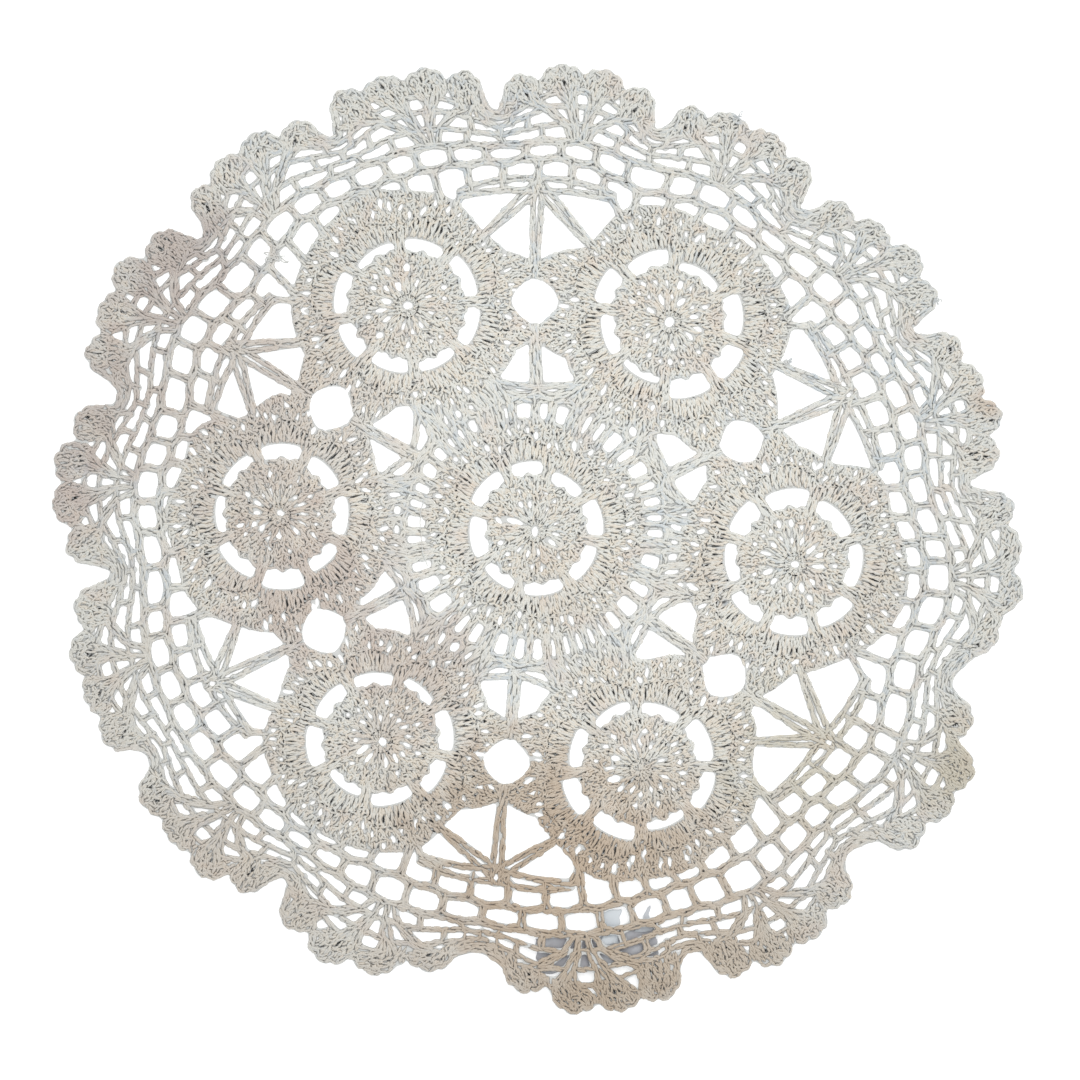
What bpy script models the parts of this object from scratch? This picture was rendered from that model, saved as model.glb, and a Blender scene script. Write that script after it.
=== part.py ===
"""Lace doily: one crocheted cotton sheet, with a small bare care label lying under its edge.

Seven round motifs are joined with spiders, stars and rings of open net, and fifteen fans run
round the outside.  The thread plan below lays every bar, post and chain as a line with a half
width; the sheet is the sum of those lines cut from one flat thickness.

Frame: X right, Y up the doily as seen from above, Z up.  The origin is under the middle of
the bounding box, on the table.  The plan's own centre is the middle motif.
Bearings run clockwise from the top of the doily; motif angles run anticlockwise from +X.
"""
import math
from typing import NamedTuple

import bmesh
import bpy
import numpy as np

MM = 0.001                  # plan sizes are in millimetres

SHEET_THICK = 1.8           # crocheted cotton, one layer
CHAIN = 1.15                # half width of a chain or a slanting spoke strand
POST = 1.3                  # half width of an upright stitch in the outer net
NET_CORD = 1.35             # half width of the chains along the outer net
INNER_WALL = 1.6            # half width of the paired posts round the middle motif
INNER_CORD = 1.4
BAR_HALF = 1.75             # half width of a motif's window bar
BAND = 13.9                 # middle motif: window top to rim
HUB_HALF = 2.0              # half width of a spider's hub
JOIN_HALF = 2.3             # half width of the joins above and below each diamond gap
FILLET = 1.3                # how far strands melt together where they meet

DIAMOND_POWER = 1.55        # roundness of the diamond gaps
PICOTS = 3                  # bumps along each shell of the edging
PICOT_RISE = 0.75

PLAN_HALF = 168.0           # half width of the square the plan is worked out on
PLAN_CELL = 0.4
SMALLEST_GAP = 1.1          # gaps whose largest circle has a smaller radius stay closed
OUTLINE_STEP = 0.35         # how far the straightened outline may leave the true one
GAP_STEP = 0.42             # the same for the gaps

LABEL_THICK = 1.0
LABEL_X, LABEL_Y = 20.4, -138.2
LABEL_LONG, LABEL_WIDE = 40.0, 13.0
LABEL_TURN = 5.0            # degrees, following the doily's edge
LABEL_FOLD = 9.5            # how far the folded tongue and the corner stand inwards
LABEL_GAP = 0.3
LIFT_FLAT = 2.5             # the sheet is fully raised this far beyond the label
LIFT_SLOPE = 9.0            # and comes down over this length


class MotifRow(NamedTuple):
    """One round motif: its middle, window bars, and radii of windows, petals and rim."""

    name: str
    x: float
    y: float
    bars: tuple             # eight bar angles
    tops: tuple             # outer radius of the window after each bar
    petals: tuple           # inner radius of the window after each bar
    rims: tuple             # rim radius every 22.5 degrees from -180; empty: follows the windows


class SectorRow(NamedTuple):
    """The lace between two outer motifs: diamond gap, inner star and outer spider."""

    left: str
    right: str
    gap_b: float            # diamond gap: bearing, radius, half height, half width
    gap_r: float
    gap_high: float
    gap_wide: float
    star_left_b: float      # where the star's side chains meet the motifs
    star_left_r: float
    star_right_b: float
    star_right_r: float
    star_chain_r: float
    hub_b: float            # spider's hub and the ends of its level chains
    hub_r: float
    end_left_b: float
    end_left_r: float
    end_right_b: float
    end_right_r: float
    lean_left: float        # turn of the slanting spokes' feet round their motifs, degrees
    lean_right: float


class FanRow(NamedTuple):
    """One fan of the edging, from the valley before it (clockwise)."""

    notch_b: float
    notch_r: float
    net1_notch: float       # radius of the two net rings at the valley and at the fan's middle
    net2_notch: float
    net1_mid: float
    net2_mid: float
    bounds: tuple           # five bearings between the four shells
    tips: tuple             # outer radius of the four shells
    walls: tuple            # bearings of the outer net's posts


MOTIFS = (
    MotifRow("middle", 0.0, 0.0, (-150, -106, -57, -9, 34, 78, 116, 161),
             (21.5, 21.5, 22.0, 22.5, 21.3, 23.5, 24.0, 22.0),
             (17.5, 17.0, 16.7, 17.0, 17.0, 19.0, 19.0, 16.5), ()),
    MotifRow("top_left", -41.9, 74.6, (-168, -129, -85, -40, 3, 51, 98, 148),
             (25.0, 23.0, 23.0, 24.5, 24.0, 22.5, 22.0, 25.0),
             (18.8, 17.5, 18.7, 19.0, 18.5, 17.7, 18.6, 19.7),
             (38.5, 38.0, 36.0, 37.5, 33.3, 38.0, 38.0, 38.5,
              35.0, 37.5, 34.8, 37.8, 37.8, 39.5, 37.5, 37.5)),
    MotifRow("top_right", 45.2, 70.3, (-143, -96, -56, -20, 26, 88, 136, 172),
             (22.7, 27.2, 27.0, 24.0, 19.3, 23.5, 27.0, 24.0),
             (19.5, 20.0, 19.5, 17.2, 15.5, 17.5, 20.0, 18.7),
             (38.0, 37.5, 38.5, 38.0, 38.5, 38.0, 37.0, 38.5,
              39.5, 36.5, 35.0, 33.0, 36.5, 39.0, 36.5, 38.0)),
    MotifRow("right", 86.1, -7.9, (-152, -114, -76, -36, 15, 72, 124, 165),
             (26.3, 27.0, 26.0, 22.7, 20.8, 22.5, 24.3, 24.0),
             (21.0, 20.3, 19.6, 17.3, 15.0, 15.7, 17.0, 19.2),
             (39.0, 38.0, 38.0, 38.5, 39.0, 38.0, 39.0, 39.0,
              36.5, 34.7, 38.0, 32.8, 36.0, 34.0, 38.0, 37.8)),
    MotifRow("bottom_right", 35.6, -76.6, (-172, -136, -92, -45, -3, 45, 97, 146),
             (28.0, 26.4, 22.8, 25.0, 24.0, 20.6, 21.6, 24.8),
             (21.5, 20.5, 19.3, 19.6, 17.2, 16.0, 17.5, 19.6),
             (37.0, 39.5, 39.0, 41.0, 38.3, 38.3, 37.5, 39.8,
              36.3, 39.5, 34.0, 38.0, 34.2, 38.5, 38.0, 39.0)),
    MotifRow("bottom_left", -52.1, -69.0, (-152, -101, -51, -13, 29, 70, 117, 163),
             (20.0, 22.3, 25.0, 25.0, 23.5, 22.4, 23.0, 24.0),
             (16.6, 17.8, 20.2, 20.4, 20.2, 18.5, 18.0, 18.0),
             (37.5, 36.3, 36.5, 36.0, 37.0, 38.0, 35.5, 39.0,
              38.5, 38.3, 38.8, 36.0, 36.8, 34.5, 38.0, 35.5)),
    MotifRow("left", -83.5, 6.3, (-156, -110, -68, -27, 20, 67, 114, 160),
             (24.8, 26.0, 23.0, 22.5, 21.8, 23.0, 22.6, 22.5),
             (19.5, 19.0, 18.0, 17.0, 16.0, 17.5, 18.5, 18.7),
             (38.5, 38.0, 42.0, 40.5, 39.5, 35.0, 39.0, 38.0,
              37.0, 34.2, 37.8, 33.0, 39.0, 34.0, 39.5, 35.8)),
)

SECTORS = (
    SectorRow("top_left", "top_right", 0.0, 76.0, 7.8, 8.0, -14.5, 52.3, 16.5, 51.5, 50.0,
              0.5, 115.0, -12.5, 113.3, 13.2, 112.3, 0, 3),
    SectorRow("top_right", "right", 66.6, 74.4, 7.6, 7.6, 51.0, 50.3, 81.0, 53.0, 49.5,
              66.6, 113.0, 53.0, 112.2, 79.5, 114.3, 0, 0),
    SectorRow("right", "bottom_right", 127.3, 78.7, 7.8, 8.0, 113.3, 55.5, 143.0, 53.0, 51.0,
              125.7, 119.6, 114.2, 119.0, 138.3, 117.5, -7, 4),
    SectorRow("bottom_right", "bottom_left", 187.0, 76.8, 7.8, 8.0, 171.8, 54.5, 201.5, 53.0,
              51.0, 186.4, 115.0, 174.2, 116.6, 199.3, 113.8, 4, -6),
    SectorRow("bottom_left", "left", 244.7, 77.1, 7.8, 8.0, 228.5, 54.0, 259.0, 53.0, 50.3,
              244.7, 117.8, 234.8, 115.0, 255.6, 116.2, 2, 0),
    SectorRow("left", "top_left", 301.1, 78.7, 7.8, 8.0, 289.0, 55.0, 316.5, 57.5, 52.0,
              301.2, 117.0, 290.3, 113.5, 311.5, 115.3, 0, 5),
)

# bearings of the paired posts round the middle motif
INNER_WALLS = (
    8.5, 18.0, 22.8, 29.5, 36.5, 46.5, 54.5, 65.0, 72.3, 80.3, 87.6, 95.2,
    100.0, 110.0, 114.5, 123.8, 134.8, 143.2, 149.0, 155.3, 161.6, 168.2, 174.5, 183.3,
    191.6, 201.5, 206.0, 214.5, 222.0, 227.5, 238.5, 249.0, 257.5, 262.4, 270.0, 279.5,
    287.0, 295.0, 305.0, 313.5, 319.8, 326.0, 333.5, 338.5, 343.5, 349.5, 360.5,
)

FANS = (
    FanRow(-5.0, 139.5, 122.5, 127.8, 123.0, 129.3, (-4.5, 0.5, 6.2, 11.6, 16.2),
           (150.8, 154.3, 154.0, 150.5), (-1.5, 3.9, 9.2, 14.4)),
    FanRow(17.0, 138.6, 117.8, 126.2, 121.7, 129.6, (18.3, 22.7, 28.3, 34.0, 39.0),
           (149.6, 152.5, 153.0, 151.0), (20.8, 25.4, 31.0, 36.5)),
    FanRow(39.5, 137.8, 120.7, 126.6, 121.0, 131.0, (41.0, 46.0, 51.4, 56.7, 61.5),
           (149.0, 152.7, 156.3, 154.3), (42.2, 47.6, 52.7, 57.3, 61.8)),
    FanRow(62.0, 141.0, 123.0, 129.4, 124.0, 132.2, (63.3, 68.4, 73.6, 78.0, 83.0),
           (153.5, 156.0, 158.8, 155.3), (66.5, 71.7, 76.7, 81.3)),
    FanRow(84.0, 144.5, 123.3, 131.0, 129.7, 139.0, (84.7, 89.2, 94.7, 100.0, 106.0),
           (158.3, 160.7, 162.3, 157.0), (86.2, 90.7, 94.2, 98.8, 103.8, 108.6)),
    FanRow(109.5, 146.3, 126.0, 135.0, 130.7, 140.5, (111.0, 116.5, 122.0, 126.6, 132.3),
           (157.8, 165.8, 165.5, 163.3), (113.7, 119.5, 122.8, 128.0, 133.0)),
    FanRow(135.5, 148.3, 127.8, 136.0, 127.8, 138.8, (137.3, 142.4, 148.0, 153.0, 158.3),
           (160.0, 163.3, 164.2, 161.5), (137.3, 142.0, 146.2, 151.7, 156.5)),
    FanRow(160.0, 148.0, 126.0, 134.8, 125.7, 134.0, (161.3, 167.2, 172.3, 178.4, 184.5),
           (160.5, 161.0, 160.0, 152.3), (160.7, 165.7, 170.4, 176.0, 181.8)),
    FanRow(187.5, 140.3, 124.0, 130.6, 122.7, 132.0, (190.5, 197.2, 203.4, 209.5, 214.8),
           (149.7, 156.0, 158.7, 154.3), (187.8, 193.8, 199.4, 204.7, 209.8, 214.8)),
    FanRow(216.0, 141.5, 125.2, 130.7, 125.5, 134.3, (217.0, 221.8, 227.0, 232.4, 238.2),
           (153.7, 158.7, 158.0, 158.0), (219.7, 224.7, 229.5, 234.6, 239.6)),
    FanRow(240.0, 148.0, 126.8, 135.0, 126.3, 134.2, (241.3, 246.9, 252.1, 257.7, 263.4),
           (158.5, 158.6, 159.0, 154.3), (244.5, 249.5, 254.4, 258.6, 264.5)),
    FanRow(264.5, 140.7, 122.5, 130.0, 124.5, 133.2, (265.3, 270.4, 275.9, 281.2, 286.4),
           (154.8, 159.5, 160.3, 156.5), (269.8, 274.3, 279.2, 283.5, 288.0)),
    FanRow(288.0, 144.8, 121.7, 130.5, 126.0, 135.7, (289.2, 294.6, 299.9, 304.8, 310.6),
           (159.8, 161.8, 163.8, 159.4), (293.5, 298.2, 302.8, 307.7)),
    FanRow(311.5, 146.5, 123.5, 133.3, 128.0, 135.8, (312.7, 316.9, 321.9, 326.9, 331.8),
           (159.0, 160.8, 161.0, 157.0), (313.2, 317.5, 322.8, 327.7)),
    FanRow(333.0, 146.3, 126.3, 133.5, 124.3, 132.0, (333.5, 338.4, 343.7, 348.9, 353.6),
           (159.0, 158.4, 157.2, 153.8), (332.4, 337.5, 342.2, 347.3, 352.6)),
)


# ------------------------------------------------------------------ small geometry

def at(bearing, radius):
    """Plan point(s) on a clockwise bearing from the top."""
    a = np.radians(bearing)
    return np.stack([np.sin(a) * radius, np.cos(a) * radius], -1)


def turn(a, b):
    """Signed difference a - b in degrees, between -180 and 180."""
    return (a - b + 180.0) % 360.0 - 180.0


def smooth_round(x, knots, values):
    """Smooth periodic curve through the values at the knots (degrees)."""
    order = np.argsort(np.asarray(knots, float) % 360.0)
    k = (np.asarray(knots, float) % 360.0)[order]
    v = np.asarray(values, float)[order]
    k = np.concatenate([k[-2:] - 360.0, k, k[:2] + 360.0])
    v = np.concatenate([v[-2:], v, v[:2]])
    x = np.asarray(x, float) % 360.0
    i = np.clip(np.searchsorted(k, x, side="right") - 1, 1, len(k) - 3)
    step = k[i + 1] - k[i]
    t = (x - k[i]) / step
    m0 = (v[i + 1] - v[i - 1]) / (k[i + 1] - k[i - 1]) * step
    m1 = (v[i + 2] - v[i]) / (k[i + 2] - k[i]) * step
    return ((2 * t**3 - 3 * t**2 + 1) * v[i] + (t**3 - 2 * t**2 + t) * m0
            + (3 * t**2 - 2 * t**3) * v[i + 1] + (t**3 - t**2) * m1)


def bow(*points, steps=12):
    """Smooth line through plan points."""
    p = np.array(points, float)
    if len(p) == 2:
        return p
    p = np.vstack([2 * p[0] - p[1], p, 2 * p[-1] - p[-2]])
    t = np.linspace(0, 1, steps, endpoint=False)[:, None]
    out = []
    for a, b, c, d in zip(p[:-3], p[1:-2], p[2:-1], p[3:]):
        out.append(b + 0.5 * (c - a) * t + (a - 2.5 * b + 2 * c - 0.5 * d) * t**2
                   + (1.5 * (b - c) + 0.5 * (d - a)) * t**3)
    return np.vstack(out + [p[-2:-1]])


class Motif:
    """A round motif: centre, windows between bars, petals inside them and the rim."""

    def __init__(self, row):
        self.row = row
        self.centre = np.array([row.x, row.y])
        self.bars = np.array(row.bars, float)
        nxt = np.append(self.bars[1:], self.bars[0] + 360.0)
        self.middles = (self.bars + nxt) / 2
        self.spans = nxt - self.bars
        self.tops = np.array(row.tops)
        self.petals = np.array(row.petals)
        self.joins = []

    def rim(self, angle):
        """Rim radius, drawn out where the motif reaches for its neighbours."""
        if not self.row.rims:
            return smooth_round(angle, self.middles, self.tops) + BAND
        r = smooth_round(angle, np.arange(16) * 22.5 - 180.0, self.row.rims)
        for join_angle, distance in self.joins:
            away = turn(np.asarray(angle, float), join_angle)
            r = np.maximum(r, distance + 2.0 - 0.75 * np.sqrt(away**2 + 9.0))
        return r

    def polar(self, p):
        """Angle and distance of plan point(s) from the motif's middle."""
        d = np.asarray(p) - self.centre
        return np.degrees(np.arctan2(d[..., 1], d[..., 0])), np.hypot(d[..., 0], d[..., 1])

    def on_rim(self, angle, inwards=0.0):
        """Plan point on the rim."""
        a = np.radians(angle)
        return self.centre + np.array([np.cos(a), np.sin(a)]) * (self.rim(angle) - inwards)

    def level(self, x, y):
        """Signed distance of the motif's solid work: petals, bars and band."""
        angle, r = self.polar(np.stack([x, y], -1))
        k = (np.searchsorted(self.bars, angle, side="right") - 1) % 8
        start = np.where(angle < self.bars[0], self.bars[-1] - 360.0, self.bars[k])
        u = np.abs((angle - start) / self.spans[k] * 2 - 1)
        petal = self.petals[k] + 0.5 - 2.0 * u**3 + 0.5 * np.cos(3 * np.pi * u)
        top = self.tops[k] - 0.5 - 1.3 * u**4
        body = np.minimum(r - petal, np.maximum(top - r, r - self.rim(angle)))
        bar = np.radians((1 - u) * self.spans[k] / 2) * r - BAR_HALF
        bar = np.maximum(bar, np.maximum(r - top - 1.0, petal - 6.0 - r))
        return np.minimum(body, bar)


# ------------------------------------------------------------------ the thread plan

class ThreadPlan:
    """Every strand of the doily: a line of plan points and a half width."""

    def __init__(self):
        self.motifs = {row.name: Motif(row) for row in MOTIFS}
        self.strands = []
        self.fan_pairs = list(zip(FANS, FANS[1:] + FANS[:1]))
        self.walls = [w for fan in FANS for w in fan.walls]
        for sector in SECTORS:
            self.note_joins(sector)
        for sector in SECTORS:
            self.lay_star(sector)
            self.lay_spider(sector)
        self.lay_inner_net()
        self.lay_outer_net()
        self.rows = {1: [], 2: [], 3: []}
        for fan, after in self.fan_pairs:
            self.lay_fan(fan, after)
        self.lay_fan_rows()

    def add(self, points, half):
        self.strands.append((np.asarray(points, float), half))

    @staticmethod
    def joins(sector):
        """Plan points where the two motifs meet, under and over the diamond gap."""
        reach = sector.gap_high + 4.0
        return at(sector.gap_b, sector.gap_r - reach), at(sector.gap_b, sector.gap_r + reach)

    def note_joins(self, sector):
        for name in (sector.left, sector.right):
            motif = self.motifs[name]
            for point in self.joins(sector):
                angle, distance = motif.polar(point)
                motif.joins.append((float(angle), float(distance)))

    def lay_star(self, s):
        """Inner join: a doubled arm, two side chains and the stitches round its hub."""
        inner, _ = self.joins(s)
        hub_b = s.gap_b + 0.7
        across = at(s.gap_b + 90.0, 1.0)
        for side in (-1.1, 1.1):
            foot = at(hub_b + side * 1.3, 48.0)
            top = inner + across * side * 0.7
            self.add(bow(foot, (foot + top) / 2, top), CHAIN)
        for b, r in ((s.star_left_b, s.star_left_r), (s.star_right_b, s.star_right_r)):
            d = turn(b, s.gap_b)
            self.add(bow(at(hub_b, 47.8), at(s.gap_b + d * 0.5, s.star_chain_r - 1.4),
                         at(b, r - 1.2)), CHAIN)
            self.add(bow(at(hub_b, 45.4), at(s.gap_b + d * 0.42, 45.2),
                         at(s.gap_b + d * 0.78, 47.0), at(b, r - 2.0)), CHAIN)
            self.add([at(hub_b, 46.6), at(s.gap_b + d * 0.3, 43.8)], CHAIN)
            for k in (-2.4, 1.8):
                self.add([at(b + k * 0.3, r - 0.5), at(b + k, 43.6)], CHAIN)
        for reach in (-1, 1):
            self.add([at(s.gap_b, s.gap_r + reach * (s.gap_high + 1.8)),
                      at(s.gap_b, s.gap_r + reach * (s.gap_high + 4.8))], JOIN_HALF)

    def lay_spider(self, s):
        """Outer web: hub, doubled spokes to the join and both motifs, and level chains."""
        _, outer = self.joins(s)
        hub = at(s.hub_b, s.hub_r - 2.0)
        self.add([at(s.hub_b, s.hub_r - 4.5), at(s.hub_b, s.hub_r + 1.0)], HUB_HALF)
        self.lay_double(hub, outer)
        for name, lean in ((s.left, s.lean_left), (s.right, s.lean_right)):
            motif = self.motifs[name]
            angle, _ = motif.polar(hub)
            self.lay_double(hub, motif.on_rim(angle + lean))
        ends = ((self.motifs[s.left], s.end_left_b, s.end_left_r),
                (self.motifs[s.right], s.end_right_b, s.end_right_r))
        for motif, b, r in ends:
            d = turn(b, s.hub_b)
            end = at(b, r)
            self.add(bow(at(s.hub_b, s.hub_r - 2.6),
                         at(s.hub_b + d / 2, (s.hub_r - 2.2 + r) / 2), end), CHAIN)
            t = np.linspace(0, 1, 13)
            self.add(at(s.hub_b + d * t, self.upper_chain(s, r, t)), CHAIN)
            angle, distance = motif.polar(end)
            if distance > motif.rim(angle):
                self.add([end, motif.on_rim(angle, 1.0)], CHAIN)

    def lay_double(self, start, end):
        """A spoke of two strands side by side."""
        along = (end - start) / np.linalg.norm(end - start)
        across = np.array([-along[1], along[0]])
        for side in (-1, 1):
            self.add(bow(start + across * side * 1.1, (start + end) / 2 + across * side * 1.3,
                         end + across * side), CHAIN + 0.1)

    @staticmethod
    def upper_chain(s, end_r, t):
        """Radius of a spider's upper chain from the hub (t = 0) to its end (t = 1)."""
        return s.hub_r + 1.4 + (end_r + 1.7 - s.hub_r - 1.4) * t + 3.0 * t * (1 - t)

    def lay_inner_net(self):
        """Paired posts round the middle motif, the chain on them and posts out to the motifs."""
        middle = self.motifs["middle"]
        nexts = INNER_WALLS[1:] + (INNER_WALLS[0] + 360.0,)
        ring = []
        for wall, nxt in zip(INNER_WALLS, nexts):
            foot = float(middle.rim(90.0 - wall)) - 0.3
            self.add([at(wall - 0.5, foot), at(wall, 43.2)], INNER_WALL)
            between = (wall + nxt) / 2
            ring += [(wall, 43.0), (between, 44.0)]
            for motif in list(self.motifs.values())[1:]:
                angle, distance = motif.polar(at(between, 44.0))
                if distance - motif.rim(angle) < 8.5:
                    self.add([at(between, 44.0), motif.on_rim(angle, 0.8)], 1.5)
        self.add_ring(ring, INNER_CORD)

    def add_ring(self, ring, half, soften=1):
        """Closed chain through (bearing, radius) pairs, its corners softened."""
        ring = sorted((b % 360.0, r) for b, r in ring)
        ring = [(ring[-1][0] - 360.0, ring[-1][1])] + ring + [(ring[0][0] + 360.0, ring[0][1])]
        b, r = zip(*ring)
        turns = np.linspace(0, 360, 1441)
        radii = np.interp(turns, b, r)
        if soften > 1:
            pad = soften // 2
            window = np.hanning(soften + 2)[1:-1]
            closed = np.concatenate([radii[-pad - 1:-1], radii, radii[1:pad + 1]])
            radii = np.convolve(closed, window / window.sum(), "valid")
        self.add(at(turns[::3], radii[::3]), half)

    def net_radius(self, ring, b):
        """Radius of the first or second net ring along a bearing."""
        middles = [f.notch_b + turn(g.notch_b, f.notch_b) / 2 for f, g in self.fan_pairs]
        knots = [f.notch_b for f in FANS] + middles
        if ring == 1:
            values = [f.net1_notch for f in FANS] + [f.net1_mid for f in FANS]
        else:
            values = [f.net2_notch for f in FANS] + [f.net2_mid for f in FANS]
        return float(smooth_round(b, knots, values))

    def work_edge(self, b):
        """Outermost radius of the motifs and spider chains along a bearing."""
        radii = np.linspace(90, 132, 169)
        ray = at(b, radii)
        best = 0.0
        for motif in list(self.motifs.values())[1:]:
            angle, r = motif.polar(ray)
            inside = r < motif.rim(angle)
            if inside.any():
                best = max(best, radii[inside].max())
        for s in SECTORS:
            d = turn(b, s.hub_b)
            end_b, end_r = (s.end_left_b, s.end_left_r) if d < 0 else (s.end_right_b, s.end_right_r)
            t = d / turn(end_b, s.hub_b)
            if 0 <= t < 1:
                best = max(best, self.upper_chain(s, end_r, t))
        return best

    def lay_outer_net(self):
        """Two rings of open net: posts from the motifs, a chain, posts and a chain again."""
        nexts = self.walls[1:] + [self.walls[0] + 360.0]
        first, second = [], []
        for wall, nxt in zip(self.walls, nexts):
            self.add([at(wall + 0.15, self.net_radius(1, wall) + 0.4),
                      at(wall, self.net_radius(2, wall) - 0.6)], POST)
            low = (wall + nxt) / 2 - 0.6
            foot, head = self.work_edge(low), self.net_radius(1, low) - 0.6
            if head - foot > 0.3:
                self.add([at(low, foot - 0.8), at(low, head)], POST)
            high = (wall + nxt) / 2
            first += [(wall + 0.15, self.net_radius(1, wall) + 0.8),
                      (low, self.net_radius(1, low) - 0.9)]
            second += [(wall, self.net_radius(2, wall) - 0.7),
                       (high, self.net_radius(2, high) + 0.4)]
        self.add_ring(first, NET_CORD, soften=9)
        self.add_ring(second, NET_CORD, soften=9)

    # -------------------------------------------------------------- edging

    def row_radius(self, fan, after, row, b):
        """Radius of a fan's row: full height over its middle, squeezed at the valleys."""
        width = turn(after.notch_b, fan.notch_b)
        middle = fan.notch_b + width / 2
        u = abs(turn(b, middle)) / (width / 2)
        swell = 0.5 + 0.5 * math.cos(math.pi * min(1.0, max(0.0, (u - 0.25) / 0.75)))
        near = fan if turn(b, middle) < 0 else after
        valley = near.notch_r - 0.9 - near.net2_notch
        low = valley * (0.30, 0.57, 0.82)[row - 1]
        high = 5.6 * row - 0.1 * (row - 1)
        return self.net_radius(2, b) + low + (high - low) * swell

    def lay_fan(self, fan, after):
        """Four columns of 1, 2 and 3 posts fanning out, and a shell on each column."""
        width = turn(after.notch_b, fan.notch_b)
        middle = fan.notch_b + width / 2
        gaps = self.net_gaps()
        seat = min(gaps, key=lambda g: abs(turn(g, middle)))
        shift = turn(seat, middle)
        spread = np.array([-1.5, -0.5, 0.5, 1.5])
        columns = [middle + shift + spread * 0.03 * width,
                   middle + shift / 2 + spread * 0.09 * width,
                   middle + shift / 2 + spread * 0.135 * width,
                   middle + shift / 2 + spread * 0.20 * width]
        splits = {1: (0,), 2: (-0.026, 0.026), 3: (-0.045, 0.0, 0.045)}
        for row, heads in splits.items():
            for low, high in zip(columns[row - 1], columns[row]):
                foot_r = self.net_radius(2, low) if row == 1 else self.row_radius(
                    fan, after, row - 1, low)
                for k in heads:
                    top = high + k * width
                    self.add([at(low + k * 0.2 * width, foot_r),
                              at(top, self.row_radius(fan, after, row, high))], POST * 0.9)
            self.rows[row] += [(b, self.row_radius(fan, after, row, b)) for b in columns[row]]
        self.lay_fan_sides(fan, after, middle, width, seat, gaps)
        for j in range(4):
            self.lay_shell(fan, after, j, columns[3][j])
        self.lay_valley(fan, after)

    def net_gaps(self):
        """Bearings of the second net ring's windows."""
        nexts = self.walls[1:] + [self.walls[0] + 360.0]
        return [(a + b) / 2 for a, b in zip(self.walls, nexts)]

    def lay_fan_sides(self, fan, after, middle, width, seat, gaps):
        """Single posts of the rows between a fan's columns and its valleys."""
        for gap in gaps:
            d = turn(gap, middle)
            if abs(d) < width / 2 and abs(turn(gap, seat)) > 0.5:
                head = middle + d * 1.06
                top = self.row_radius(fan, after, 1, head)
                self.add([at(middle + d, self.net_radius(2, gap)), at(head, top)], POST * 0.9)
                self.rows[1].append((head, top))
        for row, places in ((2, (-0.31, 0.31, 0.5)), (3, (-0.41, 0.41, -0.5))):
            for place in places:
                b = middle + place * width
                top = self.row_radius(fan, after, row, b)
                self.rows[row].append((b, top))
                if place != -0.5:
                    self.add([at(b, self.row_radius(fan, after, row - 1, b)), at(b, top)],
                             POST * 0.9)

    def lay_shell(self, fan, after, j, root):
        """One shell: posts opening from a column's head to a scalloped edge."""
        low, high = fan.bounds[j], fan.bounds[j + 1]
        before = fan.tips[j - 1] if j > 0 else fan.notch_r + 4.0
        beyond = fan.tips[j + 1] if j < 3 else after.notch_r + 4.0
        tip, middle, half = fan.tips[j], (low + high) / 2, (high - low) / 2 * 0.9
        foot = self.row_radius(fan, after, 3, root) - 0.3

        def edge(t, bump):
            saddle = np.where(t < 0, min(tip, before), min(tip, beyond)) - 4.2
            rise = (tip - 1.7 - saddle) * (1 - np.abs(t)**2.6)
            return at(middle + t * half, saddle + rise + bump)

        t = np.linspace(-1, 1, 29)
        bumps = PICOT_RISE * np.cos(PICOTS * math.pi * t) * (np.abs(t) < 0.9)
        arch = edge(t, bumps)
        self.add(arch, 0.9)
        self.add(at(root, foot) * 0.42 + arch * 0.58, 1.6)
        for k in np.linspace(-0.92, 0.92, 6):
            spread = k * 0.03 * turn(after.notch_b, fan.notch_b)
            self.add([at(root + spread, foot), edge(k, 0.0)], POST * 1.05)

    def lay_valley(self, fan, after):
        """The edge chain through the valley after a fan."""
        b = after.notch_b
        last = fan.notch_b + turn(fan.bounds[4], fan.notch_b) - 0.6
        foot = self.row_radius(fan, after, 3, last) + 2.5
        self.add(bow(at(last, foot), at(b, after.notch_r - 0.9),
                     at(after.bounds[0] + 0.6, after.notch_r + 2.0)), CHAIN)

    def lay_fan_rows(self):
        """The chains along the tops of the fans' first three rows."""
        for row in (1, 2, 3):
            self.add_ring(self.rows[row], CHAIN * 0.9)


# ------------------------------------------------------------------ plan to outline

def diamond(sector, x, y):
    """Below one inside the diamond gap between two motifs."""
    d = np.stack([x, y], -1) - at(sector.gap_b, sector.gap_r)
    u = np.abs(d @ at(sector.gap_b + 90.0, 1.0)) / sector.gap_wide
    v = np.abs(d @ at(sector.gap_b, 1.0)) / sector.gap_high
    return (u**DIAMOND_POWER + v**DIAMOND_POWER)**(1 / DIAMOND_POWER)


def cell_box(points, margin, axis):
    """Index ranges of the plan cells round some points."""
    low = ((points.min(0) - margin - axis[0]) / PLAN_CELL).astype(int)
    high = ((points.max(0) + margin - axis[0]) / PLAN_CELL).astype(int) + 2
    low, high = np.maximum(low, 0), np.minimum(high, len(axis))
    return slice(low[1], high[1]), slice(low[0], high[0])


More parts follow.
